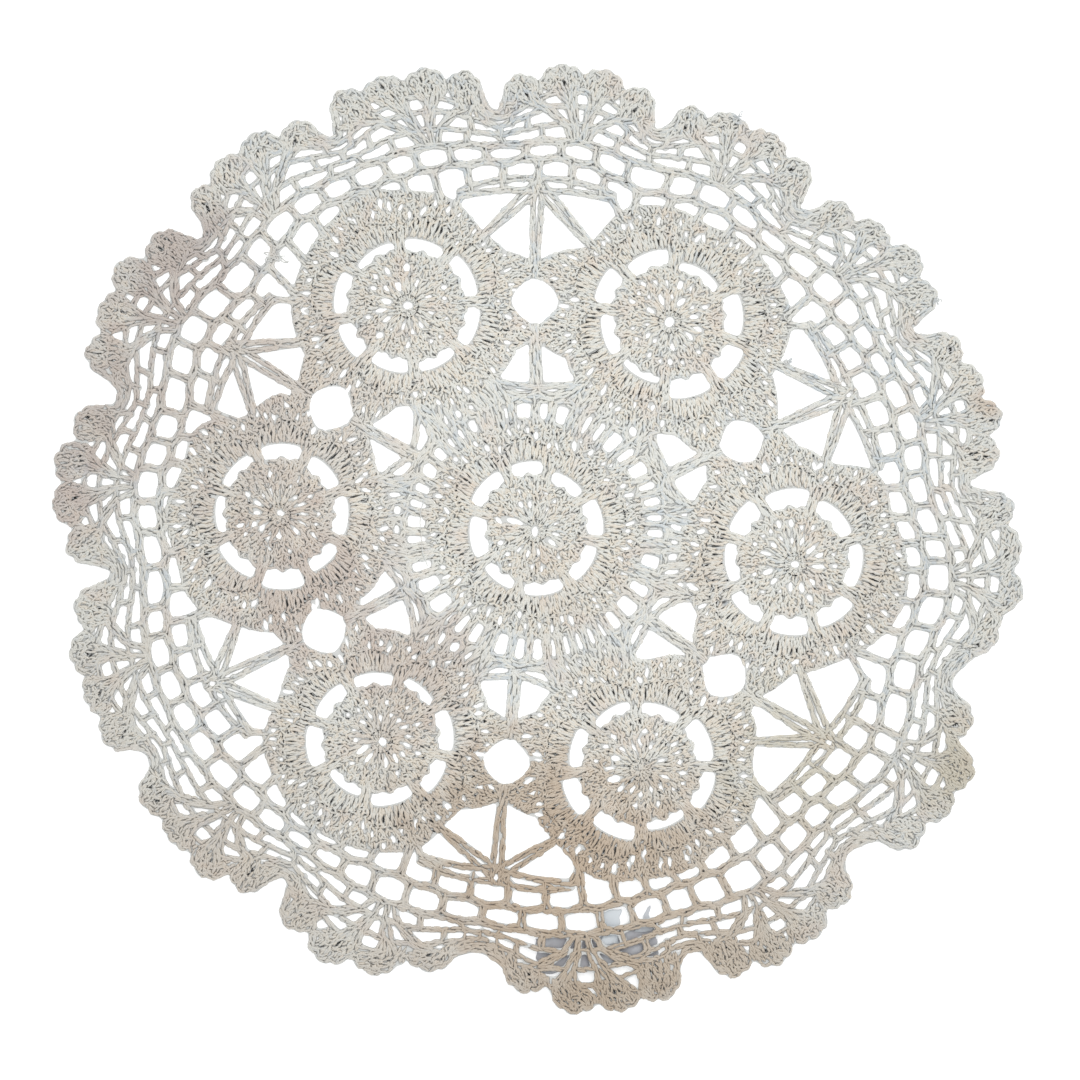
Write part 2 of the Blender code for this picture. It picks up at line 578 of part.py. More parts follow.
def strand_level(points, half, axis, rows, cols):
    """Signed distance to one strand over a box of cells."""
    level = np.full((rows.stop - rows.start, cols.stop - cols.start), 9.0)
    for a, b in zip(points[:-1], points[1:]):
        r, c = cell_box(np.array([a, b]), half + 2.5, axis)
        gx, gy = axis[c][None, :], axis[r][:, None]
        d = b - a
        t = ((gx - a[0]) * d[0] + (gy - a[1]) * d[1]) / max(d @ d, 1e-9)
        t = np.clip(t, 0, 1)
        away = np.hypot(gx - a[0] - t * d[0], gy - a[1] - t * d[1]) - half
        part = level[r.start - rows.start:r.stop - rows.start,
                     c.start - cols.start:c.stop - cols.start]
        np.minimum(part, away, out=part)
    return level


def plan_level():
    """Signed distance over the plan square, negative in the thread."""
    plan = ThreadPlan()
    axis = np.arange(-PLAN_HALF, PLAN_HALF + PLAN_CELL / 2, PLAN_CELL)
    x, y = np.meshgrid(axis, axis)
    level = np.full(x.shape, 5.0)
    for motif in plan.motifs.values():
        near = np.hypot(x - motif.centre[0], y - motif.centre[1]) < 52.0
        level[near] = np.minimum(level[near], motif.level(x[near], y[near]))
    for sector in SECTORS:
        value = diamond(sector, x, y)
        level = np.where(value < 1.6, np.maximum(level, (0.97 - value) * 7.8), level)
    for points, half in plan.strands:
        rows, cols = cell_box(points, half + 2.5, axis)
        strand = strand_level(points, half, axis, rows, cols)
        part = level[rows, cols]
        melt = np.maximum(FILLET - np.abs(part - strand), 0.0) / FILLET
        level[rows, cols] = np.minimum(part, strand) - melt**2 * FILLET / 4
    return axis, level


# outline steps through a cell, thread on the left: corner bits are 1 lower left,
# 2 lower right, 4 upper right, 8 upper left
STEPS = {
    1: ("bl",), 2: ("rb",), 3: ("rl",), 4: ("tr",), 5: ("tl", "br"), 6: ("tb",), 7: ("tl",),
    8: ("lt",), 9: ("bt",), 10: ("lb", "rt"), 11: ("rt",), 12: ("lr",), 13: ("br",), 14: ("lb",),
}


def trace(axis, level):
    """Closed outlines of the thread as lists of edge numbers, and the edges' points."""
    n = len(axis)
    inside = level < 0
    case = (inside[:-1, :-1] * 1 + inside[:-1, 1:] * 2 + inside[1:, 1:] * 4
            + inside[1:, :-1] * 8)
    follow = {}
    for number, steps in STEPS.items():
        j, i = np.nonzero(case == number)
        edges = {"b": j * n + i, "t": (j + 1) * n + i,
                 "l": n * n + j * n + i, "r": n * n + j * n + i + 1}
        for step in steps:
            follow.update(zip(edges[step[0]].tolist(), edges[step[1]].tolist()))
    loops = []
    while follow:
        start, here = follow.popitem()
        loop = [start]
        while here != start:
            loop.append(here)
            here = follow.pop(here)
        loops.append(edge_points(np.array(loop), axis, level))
    return loops


def edge_points(edges, axis, level):
    """Where the outline crosses the numbered cell edges."""
    n = len(axis)
    upright = edges >= n * n
    j, i = np.divmod(edges % (n * n), n)
    j2, i2 = j + upright, i + ~upright
    a, b = level[j, i], level[j2, i2]
    t = a / (a - b)
    x = axis[i] + (axis[i2] - axis[i]) * t
    y = axis[j] + (axis[j2] - axis[j]) * t
    return np.stack([x, y], -1)


def loop_area(loop):
    """Signed area, positive for an anticlockwise loop."""
    x, y = loop.T
    return 0.5 * float(np.sum(x * np.roll(y, -1) - y * np.roll(x, -1)))


def straighten(points, tolerance):
    """Drop the points of an open line that lie within the tolerance of the rest."""
    keep = np.zeros(len(points), bool)
    keep[[0, -1]] = True
    spans = [(0, len(points) - 1)]
    while spans:
        a, b = spans.pop()
        if b - a < 2:
            continue
        d = points[b] - points[a]
        away = points[a + 1:b] - points[a]
        gap = np.abs(away[:, 0] * d[1] - away[:, 1] * d[0]) / max(np.hypot(*d), 1e-9)
        k = int(np.argmax(gap))
        if gap[k] > tolerance:
            keep[a + 1 + k] = True
            spans += [(a, a + 1 + k), (a + 1 + k, b)]
    return points[keep]


def tidy_loop(loop, tolerance):
    """A closed outline with few points, starting where it reaches furthest."""
    start = int(np.argmax(np.hypot(*(loop - loop.mean(0)).T)))
    loop = np.roll(loop, -start, axis=0)
    far = int(np.argmax(np.hypot(*(loop - loop[0]).T)))
    first = straighten(loop[:far + 1], tolerance)
    second = straighten(np.vstack([loop[far:], loop[:1]]), tolerance)
    return np.vstack([first[:-1], second[:-1]])


def gap_radius(loop, axis, level):
    """Radius of the largest circle inside a gap, read off the plan."""
    rows, cols = cell_box(loop, 0.0, axis)
    x, y = np.meshgrid(axis[cols], axis[rows])
    part = level[rows, cols]
    best = 0.0
    for cell_y, cell_x in zip(*np.nonzero(part > SMALLEST_GAP)):
        px, py = x[cell_y, cell_x], y[cell_y, cell_x]
        if part[cell_y, cell_x] > best and encloses(loop, px, py):
            best = part[cell_y, cell_x]
    return best


def encloses(loop, px, py):
    """Whether a loop goes round a point."""
    x, y = loop.T
    x2, y2 = np.roll(x, -1), np.roll(y, -1)
    crossing = (y > py) != (y2 > py)
    at_x = x + (py - y) * (x2 - x) / np.where(crossing, y2 - y, 1.0)
    return int(np.sum(crossing & (px < at_x))) % 2 == 1


def sheet_loops():
    """The doily's outline and the gaps cut through it, recentred on the bounding box."""
    axis, level = plan_level()
    loops = trace(axis, level)
    outline = max(loops, key=loop_area)
    gaps = [g for g in loops if loop_area(g) < 0 and gap_radius(g, axis, level) > SMALLEST_GAP]
    centre = (outline.min(0) + outline.max(0)) / 2
    tidy = [tidy_loop(outline, OUTLINE_STEP)] + [tidy_loop(gap, GAP_STEP) for gap in gaps]
    return [loop - centre for loop in tidy], centre


# ------------------------------------------------------------------ solids

def label_frame(points, centre):
    """Plan points in the label's own axes: along it and across it (inwards positive)."""
    a = math.radians(LABEL_TURN)
    d = np.asarray(points) - (np.array([LABEL_X, LABEL_Y]) - centre)
    return d @ np.array([math.cos(a), math.sin(a)]), d @ np.array([-math.sin(a), math.cos(a)])


def sheet_lift(points, centre):
    """How far the sheet rides up where it covers the label."""
    along, across = label_frame(points, centre)
    out_x = np.abs(along) - LABEL_LONG / 2 - LIFT_FLAT
    low = -LABEL_WIDE / 2 - LIFT_FLAT
    high = LABEL_WIDE / 2 + LABEL_FOLD + LIFT_FLAT
    out_y = np.maximum(across - high, low - across)
    away = np.hypot(np.maximum(out_x, 0), np.maximum(out_y, 0)) / LIFT_SLOPE
    away = np.clip(away, 0, 1)
    return (LABEL_THICK + LABEL_GAP) * (1 - away**2 * (3 - 2 * away))


def flat_solid(name, loops, thickness):
    """A flat solid of the given thickness filled between closed loops (mm)."""
    curve = bpy.data.curves.new(name, "CURVE")
    curve.dimensions = "2D"
    curve.fill_mode = "BOTH"
    curve.extrude = thickness / 2 * MM
    for loop in loops:
        spline = curve.splines.new("POLY")
        spline.points.add(len(loop) - 1)
        flat = np.column_stack([loop * MM, np.zeros(len(loop)), np.ones(len(loop))])
        spline.points.foreach_set("co", flat.ravel())
        spline.use_cyclic_u = True
    carrier = bpy.data.objects.new(name, curve)
    bpy.context.scene.collection.objects.link(carrier)
    bpy.context.view_layer.update()
    ready = carrier.evaluated_get(bpy.context.evaluated_depsgraph_get())
    mesh = bpy.data.meshes.new_from_object(ready)
    bpy.data.objects.remove(carrier)
    bpy.data.curves.remove(curve)
    mesh.name = name
    return mesh


def close_mesh(bm):
    """Weld the caps to the sides and point every face outwards."""
    bmesh.ops.remove_doubles(bm, verts=bm.verts, dist=0.000001)
    bmesh.ops.recalc_face_normals(bm, faces=bm.faces)


def even_caps(bm):
    """Turn the caps' long thin faces into even ones."""
    caps = [face for face in bm.faces if abs(face.normal.z) > 0.5]
    flat = set(caps)
    inner = [edge for edge in bm.edges if all(face in flat for face in edge.link_faces)]
    bmesh.ops.beautify_fill(bm, faces=caps, edges=inner, method="AREA")


def cut_for_lift(bm, centre):
    """Cut the sheet's faces where it begins to rise over the label and where it is level."""
    a = math.radians(LABEL_TURN)
    along, across = np.array([math.cos(a), math.sin(a)]), np.array([-math.sin(a), math.cos(a)])
    origin = np.array([LABEL_X, LABEL_Y]) - centre
    for grow in (LIFT_FLAT, LIFT_FLAT + LIFT_SLOPE):
        half_long = LABEL_LONG / 2 + grow
        low = -LABEL_WIDE / 2 - grow
        high = LABEL_WIDE / 2 + LABEL_FOLD + grow
        borders = ((along, -half_long), (along, half_long), (across, low), (across, high))
        for direction, s in borders:
            near = []
            for face in bm.faces:
                u, v = label_frame(np.array([vert.co[:2] for vert in face.verts]) / MM, centre)
                if (u.min() < half_long and u.max() > -half_long
                        and v.min() < high and v.max() > low):
                    near.append(face)
            edges = {edge for face in near for edge in face.edges}
            verts = {vert for face in near for vert in face.verts}
            point = origin + direction * s
            bmesh.ops.bisect_plane(bm, geom=list(verts) + list(edges) + near, dist=0.00001,
                                   plane_co=(point[0] * MM, point[1] * MM, 0.0),
                                   plane_no=(direction[0], direction[1], 0.0))


def build_lace():
    """The crocheted sheet, resting on the table and riding over the label."""
    loops, centre = sheet_loops()
    mesh = flat_solid("lace", loops, SHEET_THICK)
    bm = bmesh.new()
    bm.from_mesh(mesh)
    close_mesh(bm)
    even_caps(bm)
    cut_for_lift(bm, centre)
    bmesh.ops.triangulate(bm, faces=bm.faces)
    flat = np.array([v.co[:2] for v in bm.verts]) / MM
    for vert, lift in zip(bm.verts, sheet_lift(flat, centre)):
        vert.co.z += (SHEET_THICK / 2 + lift) * MM
    bmesh.ops.recalc_face_normals(bm, faces=bm.faces)
    bm.to_mesh(mesh)
    bm.free()
    return mesh, centre


def build_label(centre):
    """The bare satin label: a strip with a folded tongue and one corner standing inwards."""
    x, y, fold = LABEL_LONG / 2, LABEL_WIDE / 2, LABEL_FOLD
    outline = np.array([
        (-x, -y), (x, -y), (x, y), (0.86 * x, y), (0.76 * x, y + fold), (0.55 * x, y + 0.2 * fold),
        (0.36 * x, y), (0.30 * x, y + fold), (-0.10 * x, y + 0.6 * fold), (-0.14 * x, y), (-x, y),
    ])
    a = math.radians(LABEL_TURN)
    spin = np.array([[math.cos(a), math.sin(a)], [-math.sin(a), math.cos(a)]])
    outline = outline @ spin + np.array([LABEL_X, LABEL_Y]) - centre
    mesh = flat_solid("label", [outline], LABEL_THICK)
    bm = bmesh.new()
    bm.from_mesh(mesh)
    close_mesh(bm)
    for vert in bm.verts:
        vert.co.z += LABEL_THICK / 2 * MM
    bmesh.ops.triangulate(bm, faces=bm.faces)
    bm.to_mesh(mesh)
    bm.free()
    return mesh


def plain_material(name, colour, roughness):
    """A Principled material of one colour."""
    material = bpy.data.materials.new(name)
    material.use_nodes = True
    shader = material.node_tree.nodes["Principled BSDF"]
    shader.inputs["Base Color"].default_value = (*colour, 1.0)
    shader.inputs["Roughness"].default_value = roughness
    shader.inputs["Metallic"].default_value = 0.0
    material.diffuse_color = (*colour, 1.0)
    return material


def main():
    for old in list(bpy.data.objects):
        bpy.data.objects.remove(old)
    parts = bpy.data.collections.new("lace_doily")
    bpy.context.scene.collection.children.link(parts)
    lace, centre = build_lace()
    lace.materials.append(plain_material("lace", (0.62, 0.59, 0.53), 0.9))
    label = build_label(centre)
    label.materials.append(plain_material("label", (0.74, 0.77, 0.82), 0.55))
    for mesh in (lace, label):
        parts.objects.link(bpy.data.objects.new(mesh.name, mesh))


main()
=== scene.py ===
"""Dress the lace doily: every stitch of its crochet in cotton yarn, and the satin label under it.

The work is laid out on a plan in millimetres, seen from above: X right, Y up, the origin in the
middle motif.  Bearings run clockwise from the top of the doily about the middle motif; motif
angles run anticlockwise from +X about a motif's own middle.  Heights are above the table.
"""
import logging
import math
from dataclasses import dataclass, field
from enum import Enum
from functools import partial
from typing import Iterable, Sequence

import bpy
import numpy as np
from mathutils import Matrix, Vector
from mathutils.geometry import delaunay_2d_cdt


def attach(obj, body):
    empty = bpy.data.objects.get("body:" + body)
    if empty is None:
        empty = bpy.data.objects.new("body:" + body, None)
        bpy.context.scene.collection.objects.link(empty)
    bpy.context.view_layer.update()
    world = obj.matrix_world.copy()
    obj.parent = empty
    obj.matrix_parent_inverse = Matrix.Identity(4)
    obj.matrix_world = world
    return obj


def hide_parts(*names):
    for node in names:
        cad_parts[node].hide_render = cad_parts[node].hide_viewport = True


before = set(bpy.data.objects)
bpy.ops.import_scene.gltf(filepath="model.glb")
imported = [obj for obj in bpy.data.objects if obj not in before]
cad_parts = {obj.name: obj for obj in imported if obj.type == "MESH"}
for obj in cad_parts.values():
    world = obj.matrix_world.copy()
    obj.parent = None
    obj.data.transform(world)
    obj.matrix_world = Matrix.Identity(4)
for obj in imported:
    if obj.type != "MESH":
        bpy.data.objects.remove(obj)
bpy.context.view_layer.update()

Array = np.ndarray
Socket = bpy.types.NodeSocket
LOG = logging.getLogger("doily")
MM = 0.001
PLAN_MIDDLE = np.array([-0.8645, 2.7037])   # the middle motif in the row frame, mm

GROUND_LOW, GROUND_HIGH = 0.15, 0.50    # the work's under-layer of yarn, under the strands
GROUND_SHADE_TONE = -1.0          # tone that colours it in painted shade, darker than the strands
SLIT_SHADE_TONE, SLIT_DARKEN = -2.4, 1.0      # tone of the slits' dark strands of painted shade, and its spread downwards
SHEET_MID = 0.9             # height of the work's middle
EDGE_IN, EDGE_PUSH = 0.40, 1.5          # strands' points stay so far inside the edge; most moved
SLIT_CLEAR, SLIT_PUSH = 0.57, 0.7       # and so far from a slit's edge; most moved

CHAIN = 1.08                # half width of a chain or a slanting spoke strand
POST = 1.3                  # half width of an upright stitch in the outer net
FAN_POST = 1.05             # and in the fans' rows
NET_CORD = 1.35             # half width of the chains along the outer net
INNER_WALL = 1.45           # half width of the posts round the middle motif
INNER_CORD = 1.25           # and of the chain on them
BAR_HALF = 1.75             # half width of a motif's window bar
BAND = 13.9                 # middle motif: window top to rim
HUB_HALF = 2.7              # half width of a spider's hub
HUB_HOLE = 0.95             # and of the hole in it
SPOKE = 0.98                # half width of one of a spoke's two strands
JOIN_HALF = 2.3             # half width of the joins above and below each diamond gap
FILLET = 1.3                # how far strands melt together where they meet
FAN_FILLET = 0.6            # and in the fans' rows
DIAMOND_POWER = 1.55        # roundness of the diamond gaps
DIAMOND_EDGE, DIAMOND_SLOPE = 0.97, 7.8 # share of its size at its edge, and mm to a share
DIAMOND_REACH = 1.6         # share of its size up to which it is drawn
PICOTS = 3                  # bumps along each shell of the edging
PICOT_RISE = 0.75           # their height

PLAN_HALF = 168.0           # half width of the square the plan is worked out on
PLAN_CELL = 0.5             # its grid's step
FAR_LEVEL, FAR_SLIT, NO_STRAND = 5.0, 3.0, 9.0      # distances where nothing is drawn
MOTIF_REACH = 52.0          # a motif is drawn this far from its middle
STRAND_MARGIN, SLIT_MARGIN, SLOT_MARGIN = 2.5, 2.0, 1.2     # and others beyond their edges

STRAND_BELLY = 0.38         # where a short strand is full: this share of the way to its tips
STRAND_WIDE, STRAND_HIGH = 1.08, 0.62   # its half width and half height as shares of its radius
STRAND_UNEVEN = 0.12        # spread of the radius

LABEL_THICK = 1.0           # the solid label's
LABEL_GAP = 0.3             # between it and the lace
LABEL_X, LABEL_Y = 20.4, -138.2
LABEL_LONG, LABEL_WIDE = 40.0, 13.0
LABEL_TURN = 5.0            # degrees from level
LABEL_FOLD = 9.5            # how far its tongue and corner stand out

STRAY_HIGH = 1.3            # height of the loose ends lying on the lace

# loose ends on the lace: small knots, and threads, as bearings and radii of points on them
STRAY_KNOTS = ((26.2, 152.5), (60.3, 152.8), (55.9, 99.8), (358.4, 117.0), (64.3, 111.0),
               (1.2, 108.0), (56.2, 100.6))
STRAY_LINES = (
    ((250, 37.0), (258, 38.0), (268, 37.5), (278, 38.5), (287, 38.0)),
    ((6.2, 138.0), (7.0, 139.5), (8.0, 140.2), (8.6, 142.0)),
    ((8.6, 145.0), (9.6, 145.6), (10.4, 144.4)),
    ((206.0, 88.0), (208.0, 89.0), (210.5, 88.2)),
)
LIFT_FLAT = 2.5             # the work stays up this far beyond the label
LIFT_SLOPE = 9.0            # and comes down over this length

VIEW_WIDE = 356.4           # width of table that is seen, mm
VIEW_MIDDLE = (0.79, -0.27)
CAMERA_HIGH = 1500.0        # over the work's middle


# ------------------------------------------------------------------ tables

@dataclass(frozen=True)
class MotifRow:
    """One round motif: its middle, window bars, and radii of windows, petals and rim."""

    name: str
    x: float
    y: float
    bars: tuple             # eight bar angles
    tops: tuple             # outer radius of the window after each bar
    petals: tuple           # inner radius of the window after each bar
    rims: tuple             # rim radius every 22.5 degrees from -180; empty: follows the windows


@dataclass(frozen=True)
class SectorRow:
    """The lace between two outer motifs: diamond gap, inner star and outer spider."""

    left: str
    right: str
    gap_b: float            # diamond gap: bearing, radius, half height, half width
    gap_r: float
    gap_high: float
    gap_wide: float
    star_left_b: float      # where the star's side chains meet the motifs
    star_left_r: float
    star_right_b: float
    star_right_r: float
    star_chain_r: float
    hub_b: float            # spider's hub and the ends of its level chains
    hub_r: float
    end_left_b: float
    end_left_r: float
    end_right_b: float
    end_right_r: float
    lean_left: float        # turn of the slanting spokes' feet round their motifs, degrees
    lean_right: float


@dataclass(frozen=True)
class FanRow:
    """One fan of the edging, from the valley before it (clockwise)."""

    notch_b: float
    notch_r: float
    net1_notch: float       # radius of the two net rings at the valley and at the fan's middle
    net2_notch: float
    net1_mid: float
    net2_mid: float
    bounds: tuple           # five bearings between the four shells
    tips: tuple             # outer radius of the four shells
    walls: tuple            # bearings of the outer net's posts


MOTIFS = (
    MotifRow("middle", 0.0, 0.0, (-150, -106, -57, -9, 34, 78, 116, 161),
             (21.4, 21.8, 22.0, 23.2, 21.3, 23.6, 24.0, 22.1),
             (16.9, 17.0, 16.8, 16.9, 16.5, 18.5, 18.7, 15.7), ()),
    MotifRow("top_left", -41.9, 74.6, (-168, -129, -85, -40, 3, 51, 98, 148),
             (25.0, 23.0, 23.0, 24.5, 24.0, 22.5, 22.0, 25.0),
             (18.8, 17.5, 18.7, 19.0, 18.5, 17.7, 18.6, 19.7),
             (38.5, 38.0, 36.0, 37.5, 33.3, 38.0, 38.0, 38.5,
              35.0, 37.5, 34.8, 37.8, 37.8, 39.5, 37.5, 37.5)),
    MotifRow("top_right", 45.2, 70.3, (-143, -96, -56, -20, 26, 88, 136, 172),
             (22.7, 27.2, 27.0, 24.0, 19.3, 23.5, 27.0, 24.0),
             (19.5, 20.0, 19.5, 17.2, 15.5, 17.5, 20.0, 18.7),
             (38.0, 37.5, 38.5, 38.0, 38.5, 38.0, 37.0, 38.5,
              39.5, 36.5, 35.0, 33.0, 36.5, 39.0, 36.5, 38.0)),
    MotifRow("right", 86.1, -7.9, (-152, -114, -76, -36, 15, 72, 124, 165),
             (26.3, 27.0, 26.0, 22.7, 20.8, 22.5, 24.3, 24.0),
             (21.0, 20.3, 19.6, 17.3, 15.0, 15.7, 17.0, 19.2),
             (39.0, 38.0, 38.0, 38.5, 39.0, 38.0, 39.0, 39.0,
              36.5, 34.7, 38.0, 32.8, 36.0, 34.0, 38.0, 37.8)),
    MotifRow("bottom_right", 35.6, -76.6, (-172, -136, -92, -45, -3, 45, 97, 146),
             (28.0, 26.4, 22.8, 25.0, 24.0, 20.6, 21.6, 24.8),
             (21.5, 20.5, 19.3, 19.6, 17.2, 16.0, 17.5, 19.6),
             (37.0, 39.5, 39.0, 41.0, 38.3, 38.3, 37.5, 39.8,
              36.3, 39.5, 34.0, 38.0, 34.2, 38.5, 38.0, 39.0)),
    MotifRow("bottom_left", -52.1, -69.0, (-152, -101, -51, -13, 29, 70, 117, 163),
             (20.1, 22.3, 24.9, 25.8, 23.4, 22.7, 23.0, 24.0),
             (16.3, 17.3, 19.5, 20.1, 19.8, 18.0, 17.4, 17.7),
             (37.5, 36.3, 36.5, 36.0, 37.0, 38.0, 35.5, 39.0,
              38.5, 38.3, 38.8, 36.0, 36.8, 34.5, 38.0, 35.5)),
    MotifRow("left", -83.5, 6.3, (-156, -110, -68, -27, 20, 67, 114, 160),
             (24.8, 26.0, 23.0, 22.5, 21.8, 23.0, 22.6, 22.5),
             (19.5, 19.0, 18.0, 17.0, 16.0, 17.5, 18.5, 18.7),
             (38.5, 38.0, 42.0, 40.5, 39.5, 35.0, 39.0, 38.0,
              37.0, 34.2, 37.8, 33.0, 39.0, 34.0, 39.5, 35.8)),
)

# each motif's own middle ring lies this far from its middle, mm
RING_SHIFT = {
    "middle": (0.0, 0.0), "top_left": (-0.3, -0.4), "top_right": (-0.7, -1.3),
    "right": (-0.1, -3.1), "bottom_right": (-0.6, -2.2), "bottom_left": (1.3, -0.5),
    "left": (-0.8, -1.1),
}

